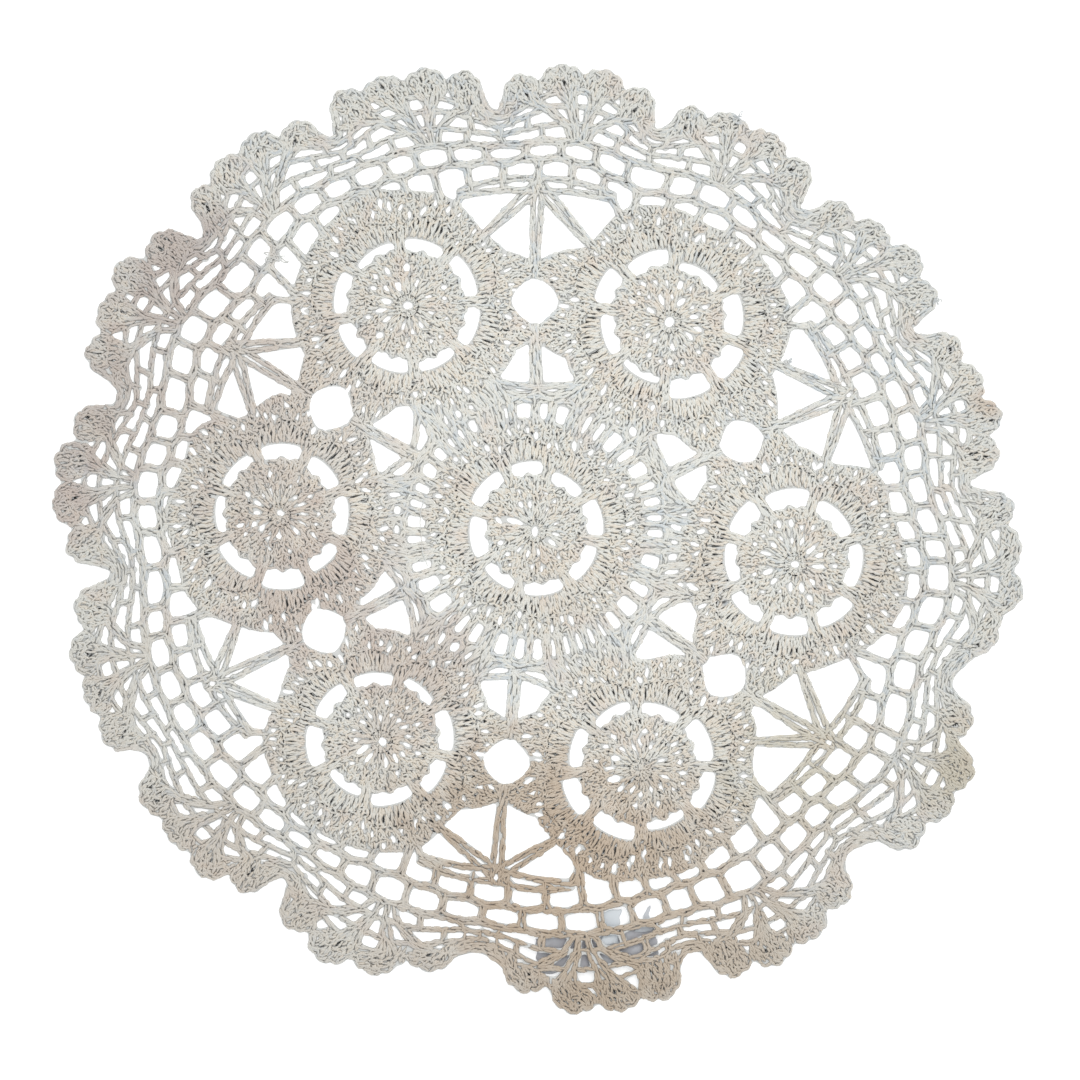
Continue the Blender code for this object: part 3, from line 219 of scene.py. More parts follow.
# small gaps inside the windows of each motif: angle and distance from its middle, length,
# width, angle of the length; the first is the hole in the ring where there is one
SMALL_GAPS = {
    "middle": (
        (270, 0.2, 3.0, 1.5, 85), (155, 7.3, 5.4, 1.5, 163), (164, 12.4, 2.6, 1.0, 130),
        (100, 8.9, 2.0, 0.9, 95), (118, 9.9, 2.0, 0.9, 120), (61, 8.1, 1.0, 0.8, 50),
        (19, 7.3, 1.8, 0.5, 0), (-9, 7.0, 2.8, 0.5, -15), (-34, 6.9, 2.8, 1.2, -38),
        (-80, 7.0, 1.8, 0.7, -80), (-107, 7.8, 2.3, 0.7, -105), (-131, 8.1, 1.8, 0.7, -137),
        (-161, 12.0, 1.6, 1.2, 0), (-140, 11.8, 1.2, 1.0, 0), (56, 11.8, 0.9, 0.5, 30),
        (73, 12.7, 1.0, 0.8, 0), (112, 14.0, 1.3, 0.6, 90), (-18, 12.9, 0.7, 0.7, 0),
        (-48, 11.8, 1.0, 0.6, 90), (-94, 12.0, 1.6, 0.6, 90), (-80, 12.7, 2.0, 0.5, 90),
        (-126, 13.6, 0.9, 0.7, 30)),
    "top_left": (
        (270, 0.2, 2.6, 2.0, 0), (117, 7.0, 3.0, 1.8, 115), (67, 7.8, 2.1, 1.3, 70),
        (170, 7.3, 3.1, 1.5, 170), (-169, 9.0, 3.6, 1.0, 10), (-146, 8.4, 2.5, 1.1, 30),
        (-101, 7.4, 2.5, 0.9, 75), (-80, 9.0, 2.0, 0.8, 95), (-57, 7.9, 2.3, 0.8, -65),
        (-18, 8.0, 1.7, 0.7, -20), (22, 7.3, 2.0, 0.7, 15), (142, 8.9, 2.0, 1.0, 130),
        (92, 12.4, 2.3, 1.8, 90), (121, 13.2, 2.3, 1.0, 120), (139, 14.4, 1.7, 1.1, 145),
        (154, 12.6, 1.5, 1.1, 150), (-163, 13.7, 1.3, 0.8, 0), (-133, 13.7, 2.0, 1.5, 30),
        (-90, 13.2, 2.0, 0.8, 75), (-57, 14.1, 1.1, 0.9, 60), (-19, 13.3, 1.2, 0.5, 0),
        (11, 12.3, 1.1, 1.0, 0), (26, 13.3, 1.6, 1.1, 0), (-45, 14.9, 1.6, 0.6, 100),
        (-125, 9.7, 0.7, 0.7, 0)),
    "top_right": (
        (-122, 1.5, 2.9, 2.4, 60), (119, 7.0, 3.6, 1.1, 110), (89, 7.3, 1.5, 1.0, 90),
        (60, 6.1, 3.0, 1.3, 38), (160, 7.6, 3.0, 0.9, 143), (137, 10.1, 1.5, 0.7, 125),
        (176, 10.2, 1.0, 0.6, 170), (-165, 8.2, 1.7, 0.5, 0), (-144, 9.8, 1.7, 0.9, 45),
        (-126, 9.4, 1.1, 1.1, 0), (-88, 9.6, 2.1, 1.5, 110), (-65, 10.0, 1.3, 0.7, -50),
        (-46, 8.3, 3.1, 1.0, -48), (-23, 9.2, 3.0, 1.2, -30), (3, 7.2, 2.8, 1.0, 0),
        (27, 7.6, 1.2, 0.7, 20), (18, 11.6, 1.7, 0.9, 0), (76, 11.2, 2.5, 1.6, 75),
        (98, 11.7, 1.8, 0.7, 95), (115, 12.9, 1.3, 1.0, 120), (130, 14.5, 2.1, 0.9, 125),
        (143, 13.6, 1.2, 0.9, 90), (157, 14.0, 2.0, 1.1, 150), (-165, 13.1, 1.3, 0.6, 0),
        (-149, 13.5, 1.3, 0.7, 95), (-121, 14.3, 1.7, 0.7, 60), (-106, 14.6, 1.1, 0.9, 90),
        (-92, 14.5, 1.7, 1.3, 120), (-76, 15.1, 1.2, 0.8, 0), (-52, 14.3, 1.2, 0.8, 0),
        (57, 11.6, 1.3, 0.6, 85)),
    "right": (
        (-94, 3.1, 2.2, 1.7, 0), (104, 4.9, 1.9, 0.6, 90), (65, 5.0, 2.6, 1.0, 65),
        (19, 5.3, 3.6, 1.2, 42), (0, 7.8, 2.4, 1.2, 25), (0, 12.3, 1.0, 1.0, 0),
        (-27, 8.4, 4.1, 1.2, -5), (-16, 13.5, 1.4, 0.7, 0), (-59, 10.4, 2.2, 1.3, -50),
        (-44, 15.6, 1.7, 1.0, -35), (-80, 11.0, 2.9, 1.3, -75), (-99, 10.7, 2.9, 1.0, 90),
        (-130, 11.1, 2.6, 1.0, 50), (-149, 10.7, 3.1, 1.3, 25), (177, 9.8, 3.8, 0.7, -15),
        (156, 7.9, 1.9, 1.0, -35), (131, 7.3, 1.4, 0.6, 130), (98, 10.6, 2.2, 1.2, 95),
        (78, 9.5, 1.7, 0.7, 85), (58, 10.5, 2.2, 0.6, 60), (119, 11.5, 2.4, 1.0, 105),
        (136, 11.3, 1.0, 1.0, 0), (149, 12.6, 1.0, 1.0, 0), (165, 13.9, 1.0, 0.9, 0),
        (-155, 15.0, 1.2, 1.0, 0), (-132, 16.3, 1.0, 0.7, 0), (-72, 15.0, 1.9, 1.2, -55),
        (-114, 12.9, 1.0, 0.7, 90)),
    "bottom_right": (
        (97, 7.0, 2.3, 0.8, 115), (64, 5.7, 1.8, 0.8, 65), (120, 5.9, 2.6, 0.5, 125),
        (146, 8.2, 2.3, 0.8, 140), (170, 9.1, 2.5, 1.5, 170), (-171, 11.0, 2.8, 0.7, 0),
        (-151, 10.8, 3.8, 2.0, 15), (-131, 11.2, 2.0, 1.0, 50), (-111, 9.2, 2.6, 0.8, 50),
        (-93, 10.2, 1.8, 0.8, 60), (-72, 9.2, 1.8, 0.7, -65), (-53, 10.2, 1.5, 0.9, -40),
        (-32, 8.6, 3.0, 0.9, -30), (8, 6.2, 2.3, 0.5, 15), (138, 13.0, 1.8, 1.1, 120),
        (156, 13.3, 1.5, 1.0, 0), (87, 10.7, 1.5, 1.3, 0), (64, 10.6, 1.3, 0.5, 50),
        (31, 11.9, 2.3, 0.7, 30), (17, 11.9, 1.5, 0.6, 15), (2, 12.1, 1.4, 1.0, 90),
        (-14, 13.6, 2.1, 0.8, 0), (-27, 14.8, 0.8, 0.7, 0), (-40, 13.2, 1.0, 0.7, 90),
        (-69, 14.5, 1.7, 0.7, -70), (-100, 14.0, 1.7, 1.1, 0), (177, 15.5, 1.0, 1.0, 0)),
    "bottom_left": (
        (-15, 1.9, 2.3, 2.0, 120), (107, 8.7, 2.5, 0.8, 125), (81, 7.5, 2.1, 0.9, 85),
        (61, 9.6, 1.3, 0.9, 70), (42, 9.6, 1.5, 0.8, 20), (25, 9.9, 2.0, 0.8, 30),
        (7, 10.5, 1.5, 0.6, -20), (-9, 9.9, 2.3, 0.7, -25), (-28, 9.9, 1.8, 1.0, -50),
        (-44, 8.5, 3.3, 1.0, -70), (-69, 8.0, 3.6, 0.9, -88), (-95, 8.8, 1.0, 0.5, 90),
        (-115, 6.4, 3.6, 1.1, 52), (-147, 5.8, 4.6, 1.5, 38), (180, 7.1, 1.1, 1.1, 0),
        (129, 7.6, 2.1, 0.7, -15), (156, 8.2, 1.3, 0.5, 10), (106, 13.0, 1.1, 1.0, 0),
        (75, 12.9, 1.1, 1.1, 0), (47, 14.6, 1.2, 0.9, 40), (122, 11.7, 1.0, 0.9, 0),
        (139, 12.7, 0.8, 0.7, 0), (21, 14.4, 1.3, 0.9, 30), (-18, 14.3, 1.7, 0.8, -15),
        (-137, 11.3, 1.3, 0.7, 0), (-59, 12.8, 1.0, 0.8, 90)),
    "left": (
        (-141, 0.6, 2.0, 1.3, -25), (118, 8.0, 2.6, 0.6, 110), (95, 7.5, 0.8, 0.6, 90),
        (71, 8.4, 1.7, 0.5, 60), (47, 6.4, 1.2, 0.6, 0), (21, 6.8, 2.3, 0.5, 15),
        (-5, 7.0, 1.7, 0.5, -25), (-30, 7.9, 2.6, 0.5, -35), (-53, 7.7, 2.3, 1.1, -65),
        (-97, 8.0, 2.3, 1.5, -75), (-119, 9.3, 2.0, 0.6, 80), (-142, 8.3, 2.3, 1.1, 65),
        (-156, 10.0, 1.7, 1.1, 60), (-178, 8.3, 1.8, 1.0, 0), (160, 8.5, 2.3, 1.0, 150),
        (138, 8.2, 1.0, 1.0, 0), (107, 13.1, 2.1, 0.9, 90), (62, 11.5, 0.9, 0.7, 0),
        (30, 10.6, 1.3, 0.7, 30), (-3, 12.1, 1.0, 0.8, 0), (-20, 11.9, 0.7, 0.6, 0),
        (-36, 13.1, 2.0, 0.7, -50), (-79, 13.0, 1.2, 0.7, 30), (-109, 12.7, 1.0, 0.7, 0),
        (-149, 14.0, 1.3, 0.8, 40), (-162, 14.4, 2.8, 0.9, 15), (153, 12.8, 1.8, 0.9, 145)),
}

SECTORS = (
    SectorRow("top_left", "top_right", 0.0, 76.0, 7.8, 8.0, -14.5, 52.3, 16.5, 51.5, 50.0,
              0.5, 115.0, -12.5, 113.3, 13.2, 112.3, 0, 3),
    SectorRow("top_right", "right", 66.6, 74.4, 7.6, 7.6, 51.0, 50.3, 81.0, 53.0, 49.5,
              66.6, 113.0, 53.0, 112.2, 79.5, 114.3, 0, 0),
    SectorRow("right", "bottom_right", 127.3, 78.7, 7.8, 8.0, 113.3, 55.5, 143.0, 53.0, 51.0,
              125.7, 119.6, 114.2, 119.0, 138.3, 117.5, -7, 4),
    SectorRow("bottom_right", "bottom_left", 187.0, 76.8, 7.8, 8.0, 171.8, 54.5, 201.5, 53.0,
              51.0, 186.4, 115.0, 174.2, 116.6, 199.3, 113.8, 4, -6),
    SectorRow("bottom_left", "left", 244.7, 77.1, 7.8, 8.0, 228.5, 54.0, 259.0, 53.0, 50.3,
              244.7, 117.8, 234.8, 115.0, 255.6, 116.2, 2, 0),
    SectorRow("left", "top_left", 301.1, 78.7, 7.8, 8.0, 289.0, 55.0, 316.5, 57.5, 52.0,
              301.2, 117.0, 290.3, 113.5, 311.5, 115.3, 0, 5),
)

# bearings of the paired posts round the middle motif
INNER_WALLS = (
    8.5, 18.0, 22.8, 29.5, 36.5, 46.5, 54.5, 65.0, 72.3, 80.3, 87.6, 95.2,
    100.0, 110.0, 114.5, 123.8, 134.8, 143.2, 149.0, 155.3, 161.6, 168.2, 174.5, 183.3,
    191.6, 201.5, 206.0, 214.5, 222.0, 227.5, 238.5, 249.0, 257.5, 262.4, 270.0, 279.5,
    287.0, 295.0, 305.0, 313.5, 319.8, 326.0, 333.5, 338.5, 343.5, 349.5, 360.5,
)

FANS = (
    FanRow(-5.0, 139.5, 122.5, 127.8, 123.0, 129.3, (-4.5, 0.5, 6.2, 11.6, 16.2),
           (150.8, 154.3, 154.0, 150.5), (-1.5, 3.9, 9.2, 14.4)),
    FanRow(17.0, 138.6, 117.8, 126.2, 121.7, 129.6, (18.3, 22.7, 28.3, 34.0, 39.0),
           (149.6, 152.5, 153.0, 151.0), (20.8, 25.4, 31.0, 36.5)),
    FanRow(39.5, 137.8, 120.7, 126.6, 121.0, 131.0, (41.0, 46.0, 51.4, 56.7, 61.5),
           (149.0, 152.7, 156.3, 154.3), (42.2, 47.6, 52.7, 57.3, 61.8)),
    FanRow(62.0, 141.0, 123.0, 129.4, 124.0, 132.2, (63.3, 68.4, 73.6, 78.0, 83.0),
           (153.5, 156.0, 158.8, 155.3), (66.5, 71.7, 76.7, 81.3)),
    FanRow(84.0, 144.5, 123.3, 131.0, 129.7, 139.0, (84.7, 89.2, 94.7, 100.0, 106.0),
           (158.3, 160.7, 162.3, 157.0), (86.2, 90.7, 94.2, 98.8, 103.8, 108.6)),
    FanRow(109.5, 146.3, 126.0, 135.0, 130.7, 140.5, (111.0, 116.5, 122.0, 126.6, 132.3),
           (157.8, 165.8, 165.5, 163.3), (113.7, 119.5, 122.8, 128.0, 133.0)),
    FanRow(135.5, 148.3, 127.8, 136.0, 127.8, 138.8, (137.3, 142.4, 148.0, 153.0, 158.3),
           (160.0, 163.3, 164.2, 161.5), (137.3, 142.0, 146.2, 151.7, 156.5)),
    FanRow(160.0, 148.0, 126.0, 134.8, 125.7, 134.0, (161.3, 167.2, 172.3, 178.4, 184.5),
           (160.5, 161.0, 160.0, 152.3), (160.7, 165.7, 170.4, 176.0, 181.8)),
    FanRow(187.5, 140.3, 124.0, 130.6, 122.7, 132.0, (190.5, 197.2, 203.4, 209.5, 214.8),
           (149.7, 156.0, 158.7, 154.3), (187.8, 193.8, 199.4, 204.7, 209.8, 214.8)),
    FanRow(216.0, 141.5, 125.2, 130.7, 125.5, 134.3, (217.0, 221.8, 227.0, 232.4, 238.2),
           (153.7, 158.7, 158.0, 158.0), (219.7, 224.7, 229.5, 234.6, 239.6)),
    FanRow(240.0, 148.0, 126.8, 135.0, 126.3, 134.2, (241.3, 246.9, 252.1, 257.7, 263.4),
           (158.5, 158.6, 159.0, 154.3), (244.5, 249.5, 254.4, 258.6, 264.5)),
    FanRow(264.5, 140.7, 122.5, 130.0, 124.5, 133.2, (265.3, 270.4, 275.9, 281.2, 286.4),
           (154.8, 159.5, 160.3, 156.5), (269.8, 274.3, 279.2, 283.5, 288.0)),
    FanRow(288.0, 144.8, 121.7, 130.5, 126.0, 135.7, (289.2, 294.6, 299.9, 304.8, 310.6),
           (159.8, 161.8, 163.8, 159.4), (293.5, 298.2, 302.8, 307.7)),
    FanRow(311.5, 146.5, 123.5, 133.3, 128.0, 135.8, (312.7, 316.9, 321.9, 326.9, 331.8),
           (159.0, 160.8, 161.0, 157.0), (313.2, 317.5, 322.8, 327.7)),
    FanRow(333.0, 146.3, 126.3, 133.5, 124.3, 132.0, (333.5, 338.4, 343.7, 348.9, 353.6),
           (159.0, 158.4, 157.2, 153.8), (332.4, 337.5, 342.2, 347.3, 352.6)),
)
FAN_PAIRS = tuple(zip(FANS, FANS[1:] + FANS[:1]))
NET_WALLS = tuple(wall for fan in FANS for wall in fan.walls)


# ------------------------------------------------------------------ plan geometry

def at(bearing: Array, radius: Array) -> Array:
    """Plan points: radius times the sine and cosine of the clockwise bearing.

    Args:
        bearing: Degrees clockwise from the top.
        radius: Distance from the middle motif, mm.

    Returns:
        Points, the last axis holding x and y.
    """
    a = np.radians(bearing)
    return np.stack([np.sin(a) * radius, np.cos(a) * radius], -1)


def heading(angle: Array) -> Array:
    """Unit vectors at anticlockwise angles in radians: cosine and sine."""
    return np.stack([np.cos(angle), np.sin(angle)], -1)


def turn(a: float, b: float) -> float:
    """Signed difference of two bearings in degrees, between -180 and 180."""
    return (a - b + 180.0) % 360.0 - 180.0


def following(bearings: tuple) -> tuple:
    """The next of each of some bearings, the last one's a full turn after the first."""
    return bearings[1:] + (bearings[0] + 360.0,)


def off_segment(x: Array, y: Array, a: Array, b: Array) -> Array:
    """Distance to a segment: from a place to the point of the segment nearest to it.

    Args:
        x: The places' x.
        y: And y.
        a: Where the segment begins.
        b: Where it ends.

    Returns:
        Distances, mm.
    """
    d = b - a
    t = np.clip(((x - a[0]) * d[0] + (y - a[1]) * d[1]) / max(d @ d, 1e-9), 0, 1)
    return np.hypot(x - a[0] - t * d[0], y - a[1] - t * d[1])


def smooth_round(x: Array, knots: Sequence[float], values: Sequence[float]) -> Array:
    """Periodic cubic through values at knots, its slopes those of the neighbours' chords.

    Args:
        x: Where to read the curve, degrees.
        knots: Degrees of the known values, in any order.
        values: The known values.

    Returns:
        The curve at x.
    """
    order = np.argsort(np.asarray(knots, float) % 360.0)
    k = (np.asarray(knots, float) % 360.0)[order]
    v = np.asarray(values, float)[order]
    k = np.concatenate([k[-2:] - 360.0, k, k[:2] + 360.0])
    v = np.concatenate([v[-2:], v, v[:2]])
    x = np.asarray(x, float) % 360.0
    i = np.clip(np.searchsorted(k, x, side="right") - 1, 1, len(k) - 3)
    step = k[i + 1] - k[i]
    t = (x - k[i]) / step
    m0 = (v[i + 1] - v[i - 1]) / (k[i + 1] - k[i - 1]) * step
    m1 = (v[i + 2] - v[i]) / (k[i + 2] - k[i]) * step
    return ((2 * t**3 - 3 * t**2 + 1) * v[i] + (t**3 - 2 * t**2 + t) * m0
            + (3 * t**2 - 2 * t**3) * v[i + 1] + (t**3 - t**2) * m1)


def bow(*points: Sequence[float], steps: int = 8) -> Array:
    """Smooth line through a few plan points, cubic between each pair.

    Args:
        points: Plan points in order.
        steps: Steps between two points.

    Returns:
        Points along the line.
    """
    p = np.array(points, float)
    p = np.vstack([2 * p[0] - p[1], p, 2 * p[-1] - p[-2]])
    t = np.linspace(0, 1, steps, endpoint=False)[:, None]
    out = [b + 0.5 * (c - a) * t + (a - 2.5 * b + 2 * c - 0.5 * d) * t**2
           + (1.5 * (b - c) + 0.5 * (d - a)) * t**3
           for a, b, c, d in zip(p[:-3], p[1:-2], p[2:-1], p[3:])]
    return np.vstack(out + [p[-2:-1]])


def scatter(half: float, spacing: float, random: np.random.Generator) -> Array:
    """Points over a square about the origin, one shaken point to each square of the spacing.

    Args:
        half: Half the square's width.
        spacing: Distance between unshaken points.
        random: Random numbers.

    Returns:
        The points, (n, 2).
    """
    axis = np.arange(-half, half, spacing)
    x, y = np.meshgrid(axis, axis)
    points = np.stack([x.ravel(), y.ravel()], -1)
    return points + random.uniform(-0.5, 0.5, points.shape) * spacing


def sheet_lift(points: Array) -> Array:
    """How far the work rides up over the label: full height on it, a smooth step round it.

    Args:
        points: Plan points.

    Returns:
        Rise in mm at each point.
    """
    a = math.radians(LABEL_TURN)
    d = np.asarray(points) - np.array([LABEL_X, LABEL_Y])
    along = d @ np.array([math.cos(a), math.sin(a)])
    across = d @ np.array([-math.sin(a), math.cos(a)])
    out_x = np.abs(along) - LABEL_LONG / 2 - LIFT_FLAT
    low = -LABEL_WIDE / 2 - LIFT_FLAT
    high = LABEL_WIDE / 2 + LABEL_FOLD + LIFT_FLAT
    out_y = np.maximum(across - high, low - across)
    away = np.hypot(np.maximum(out_x, 0), np.maximum(out_y, 0)) / LIFT_SLOPE
    away = np.clip(away, 0, 1)
    return (LABEL_THICK + LABEL_GAP) * (1 - away**2 * (3 - 2 * away))


def net_radius(ring: int, b: Array) -> Array:
    """Radius of an outer net ring: a smooth line through those of the valleys and fans.

    Args:
        ring: 1 or 2, from the inside.
        b: Bearings.

    Returns:
        Radii, mm.
    """
    middles = [f.notch_b + turn(g.notch_b, f.notch_b) / 2 for f, g in FAN_PAIRS]
    values = [getattr(f, f"net{ring}_{place}") for place in ("notch", "mid") for f in FANS]
    return smooth_round(b, [f.notch_b for f in FANS] + middles, values)


def ring_line(ring: Iterable[tuple[float, float]], soften: int = 1) -> Array:
    """Closed line through (bearing, radius) pairs, its radii averaged to soften the corners.

    Args:
        ring: Bearings and radii of the corners.
        soften: Width of the running average, in quarter degrees.

    Returns:
        Plan points at every third quarter degree; the last repeats the first.
    """
    pairs = sorted((b % 360.0, r) for b, r in ring)
    pairs = [(pairs[-1][0] - 360.0, pairs[-1][1])] + pairs + [(pairs[0][0] + 360.0, pairs[0][1])]
    b, r = zip(*pairs)
    turns = np.linspace(0, 360, 4 * 360 + 1)
    radii = np.interp(turns, b, r)
    if soften > 1:
        pad = soften // 2
        window = np.hanning(soften + 2)[1:-1]
        closed = np.concatenate([radii[-pad - 1:-1], radii, radii[1:pad + 1]])
        radii = np.convolve(closed, window / window.sum(), "valid")
    return at(turns[::3], radii[::3])


# ------------------------------------------------------------------ the drawing

class Zone(Enum):
    """How the work is made at a place."""

    BARE = 0
    RING = 1
    FIRST = 2
    DISC = 3
    BAR = 4
    BAND = 5
    OUTER = 6
    CORD = 7
    POST = 8
    SHELL = 9
    HEM = 10


@dataclass(frozen=True)
class Lay:
    """How yarn is laid in a zone."""

    spacing: float          # between strands' middles
    length: float           # a strand's own
    steps: int              # its points each way from the middle
    radius: float
    lean: float             # spread of its turn from the work's own direction, degrees
    high: float             # how far its middle stands over the under-layer
    rough: float            # spread of its heights
    tint: float             # middle of its tones, from greyish to cream
    vary: float = 0.9       # and their spread


LAYS = {
    Zone.RING: Lay(0.68, 1.7, 1, 0.42, 12.0, 0.26, 0.05, 0.55, 0.7),
    Zone.FIRST: Lay(0.96, 3.4, 1, 0.48, 7.0, 0.34, 0.06, 0.60),
    Zone.DISC: Lay(0.90, 2.6, 1, 0.50, 28.0, 0.38, 0.08, 0.62),
    Zone.BAR: Lay(0.98, 4.2, 2, 0.45, 6.0, 0.40, 0.05, 0.50, 0.7),
    Zone.BAND: Lay(0.98, 3.6, 1, 0.50, 7.0, 0.34, 0.06, 0.62),
    Zone.OUTER: Lay(0.91, 2.7, 1, 0.50, 27.0, 0.38, 0.08, 0.57),
    Zone.CORD: Lay(1.06, 3.6, 2, 0.54, 6.0, 0.36, 0.04, 0.26, 0.7),
    Zone.POST: Lay(1.08, 3.8, 2, 0.52, 5.0, 0.36, 0.04, 0.32, 0.75),
    Zone.SHELL: Lay(0.90, 2.8, 1, 0.52, 16.0, 0.36, 0.06, 0.46, 0.8),
    Zone.HEM: Lay(1.04, 3.4, 2, 0.54, 9.0, 0.30, 0.03, 0.26, 0.4),
}


@dataclass
class Drawing:
    """The plan of the whole doily: strands with half widths, and what they make on a grid.

    level is the signed distance to the edge of the work, negative in it; slit is the distance
    to the nearest slit in the yarn less its half width; way holds cosine and sine of twice the
    angle that the yarn lies at; zone and owner say how it is made and to which piece it belongs.
    """

    strands: list = field(default_factory=list)
    owners: list = field(default_factory=list)
    slits: list = field(default_factory=list)
    soften: int = 2             # passes that soften the lay

    def __post_init__(self) -> None:
        """Set the grids up, with nothing drawn."""
        self.axis = np.arange(-PLAN_HALF, PLAN_HALF + PLAN_CELL / 2, PLAN_CELL)
        shape = (len(self.axis), len(self.axis))
        self.level = np.full(shape, FAR_LEVEL)
        self.slit = np.full(shape, FAR_SLIT)
        self.way = np.zeros(shape + (2,))
        self.zone = np.full(shape, Zone.BARE.value)
        self.owner = np.full(shape, -1)

    def owner_number(self, owner: str) -> int:
        """The number of a piece: its place among the names, where a new one joins last."""
        if owner not in self.owners:
            self.owners.append(owner)
        return self.owners.index(owner)

    def add(self, line: Sequence, half: float, zone: Zone, owner: str,
            melt: float = FILLET) -> None:
        """Keep a strand: its plan line, half width, zone, piece and reach of its fillet."""
        number = self.owner_number(owner)
        self.strands.append((np.asarray(line, float), half, zone, number, melt))

    def window(self, points: Array, margin: float) -> tuple[tuple, Array, Array]:
        """The part of the grid round some points.

        Args:
            points: Plan points, (n, 2).
            margin: Distance kept round them.

        Returns:
            Its rows and columns as slices, its x along a row and its y down a column.
        """
        low = ((points.min(0) - margin - self.axis[0]) / PLAN_CELL).astype(int)
        high = ((points.max(0) + margin - self.axis[0]) / PLAN_CELL).astype(int) + 2
        low, high = np.maximum(low, 0), np.minimum(high, len(self.axis))
        rows, cols = slice(low[1], high[1]), slice(low[0], high[0])
        return (rows, cols), self.axis[cols][None, :], self.axis[rows][:, None]

    def draw_motif(self, motif: "RoundMotif") -> None:
        """Draw a round motif's solid work, where it reaches beyond what is there.

        Args:
            motif: The motif.
        """
        window, x, y = self.window(motif.centre[None], MOTIF_REACH)
        points = np.stack(np.broadcast_arrays(x, y), -1)
        level, zone = motif.level(points)
        way = heading(2 * motif.lay_angle(points))
        owner = np.full(level.shape, self.owner_number(motif.name))
        new = level < self.level[window]
        for grid, values in ((self.level, level), (self.way, way), (self.zone, zone),
                             (self.owner, owner)):
            grid[window][new] = values[new]

    def cut_diamond(self, s: SectorRow) -> None:
        """Open the diamond gap between two motifs: a rounded diamond in bearing and radius.

        The shares of its half width and half height, each raised to a power, add up to 1 at
        its edge.

        Args:
            s: The sector that has it.
        """
        x, y = np.meshgrid(self.axis, self.axis)
        d = np.stack([x, y], -1) - at(s.gap_b, s.gap_r)
        u = np.abs(d @ at(s.gap_b + 90.0, 1.0)) / s.gap_wide
        v = np.abs(d @ at(s.gap_b, 1.0)) / s.gap_high
        share = (u**DIAMOND_POWER + v**DIAMOND_POWER)**(1 / DIAMOND_POWER)
        cut = np.maximum(self.level, (DIAMOND_EDGE - share) * DIAMOND_SLOPE)
        self.level = np.where(share < DIAMOND_REACH, cut, self.level)

    def cut_slots(self, middles: Array, angles: Array, long: Array,
                  wide: Array) -> None:
        """Open small slots: each an oval about a middle, its long axis at an angle.

        Args:
            middles: Plan points.
            angles: Angles of the long axes, degrees.
            long: Half lengths.
            wide: Half widths.
        """
        for middle, angle, a, b in zip(middles, np.radians(angles), long, wide):
            window, x, y = self.window(middle[None], float(a) + SLOT_MARGIN)
            x, y = x - middle[0], y - middle[1]
            u = x * np.cos(angle) + y * np.sin(angle)
            v = y * np.cos(angle) - x * np.sin(angle)
            part = self.level[window]
            np.maximum(part, b * (1 - np.hypot(u / a, v / b)), out=part)

    def part_yarn(self, starts: Array, ends: Array, half: Array,
                  over: float = 0.0) -> None:
        """Part the yarn along short lines, where dark strands of painted shade show in the slits.

        Args:
            starts: Plan points where the lines begin.
            ends: Where they end.
            half: Half widths of the slits.
            over: How far the dark strands of painted shade are raised, for seams that cross the
                yarn.
        """
        for a, b, wide in zip(starts, ends, half):
            window, x, y = self.window(np.array([a, b]), SLIT_MARGIN)
            part = self.slit[window]
            np.minimum(part, off_segment(x, y, a, b) - wide, out=part)
        self.slits.append((starts, ends, np.full(len(starts), over)))

    def draw_strands(self) -> None:
        """Draw every strand; strands melt together by a fillet where they meet.

        Two distances within the fillet of each other give the lower less a quarter of the
        fillet times the square of how close they are.
        """
        for line, half, zone, owner, reach in self.strands:
            window, x, y = self.window(line, half + STRAND_MARGIN)
            best = np.full((y.size, x.size), NO_STRAND)
            way = np.zeros(best.shape + (2,))
            for a, b in zip(line[:-1], line[1:]):
                inner, _, _ = self.window(np.array([a, b]), half + STRAND_MARGIN)
                r, c = (slice(i.start - o.start, i.stop - o.start) for i, o in zip(inner, window))
                away = off_segment(x[:, c], y[r], a, b) - half
                near = away < best[r, c]
                best[r, c][near] = away[near]
                turned = 2 * math.atan2(b[1] - a[1], b[0] - a[0])
                way[r, c][near] = (math.cos(turned), math.sin(turned))
            part = self.level[window]
            mine = best < part
            self.way[window][mine] = way[mine]
            self.zone[window][mine] = zone.value
            self.owner[window][mine] = owner
            melt = np.maximum(reach - np.abs(part - best), 0.0) / reach
            part[...] = np.minimum(part, best) - melt**2 * reach / 4

    def settle(self) -> None:
        """Average the lay with that of the cells beside, and keep the slopes of the distances."""
        for _ in range(self.soften):
            total = self.way * 2
            for shift, axis in ((1, 0), (-1, 0), (1, 1), (-1, 1)):
                total = total + np.roll(self.way, shift, axis)
            self.way = total / 6
        self.slope, self.slit_slope = (np.stack(np.gradient(grid, PLAN_CELL)[::-1], -1)
                                       for grid in (self.level, self.slit))

    def cell_of(self, points: Array) -> tuple[Array, Array]:
        """Nearest row and column of plan points."""
        cell = np.rint((points - self.axis[0]) / PLAN_CELL).astype(int)
        return tuple(np.clip(cell, 0, len(self.axis) - 1)[..., ::-1].T)

    def read(self, grid: Array, points: Array) -> Array:
        """A grid's values at plan points, linear between the cells.

        Args:
            grid: Values or vectors of the cells.
            points: Plan points.

        Returns:
            The values there.
        """
        place = np.clip((points - self.axis[0]) / PLAN_CELL, 0, len(self.axis) - 1.001)
        cell = place.astype(int)
        part = place - cell
        i, j = cell[..., 0], cell[..., 1]
        u, v = part[..., 0], part[..., 1]
        if grid.ndim == 3:
            u, v = u[..., None], v[..., None]
        return ((grid[j, i] * (1 - u) + grid[j, i + 1] * u) * (1 - v)
                + (grid[j + 1, i] * (1 - u) + grid[j + 1, i + 1] * u) * v)

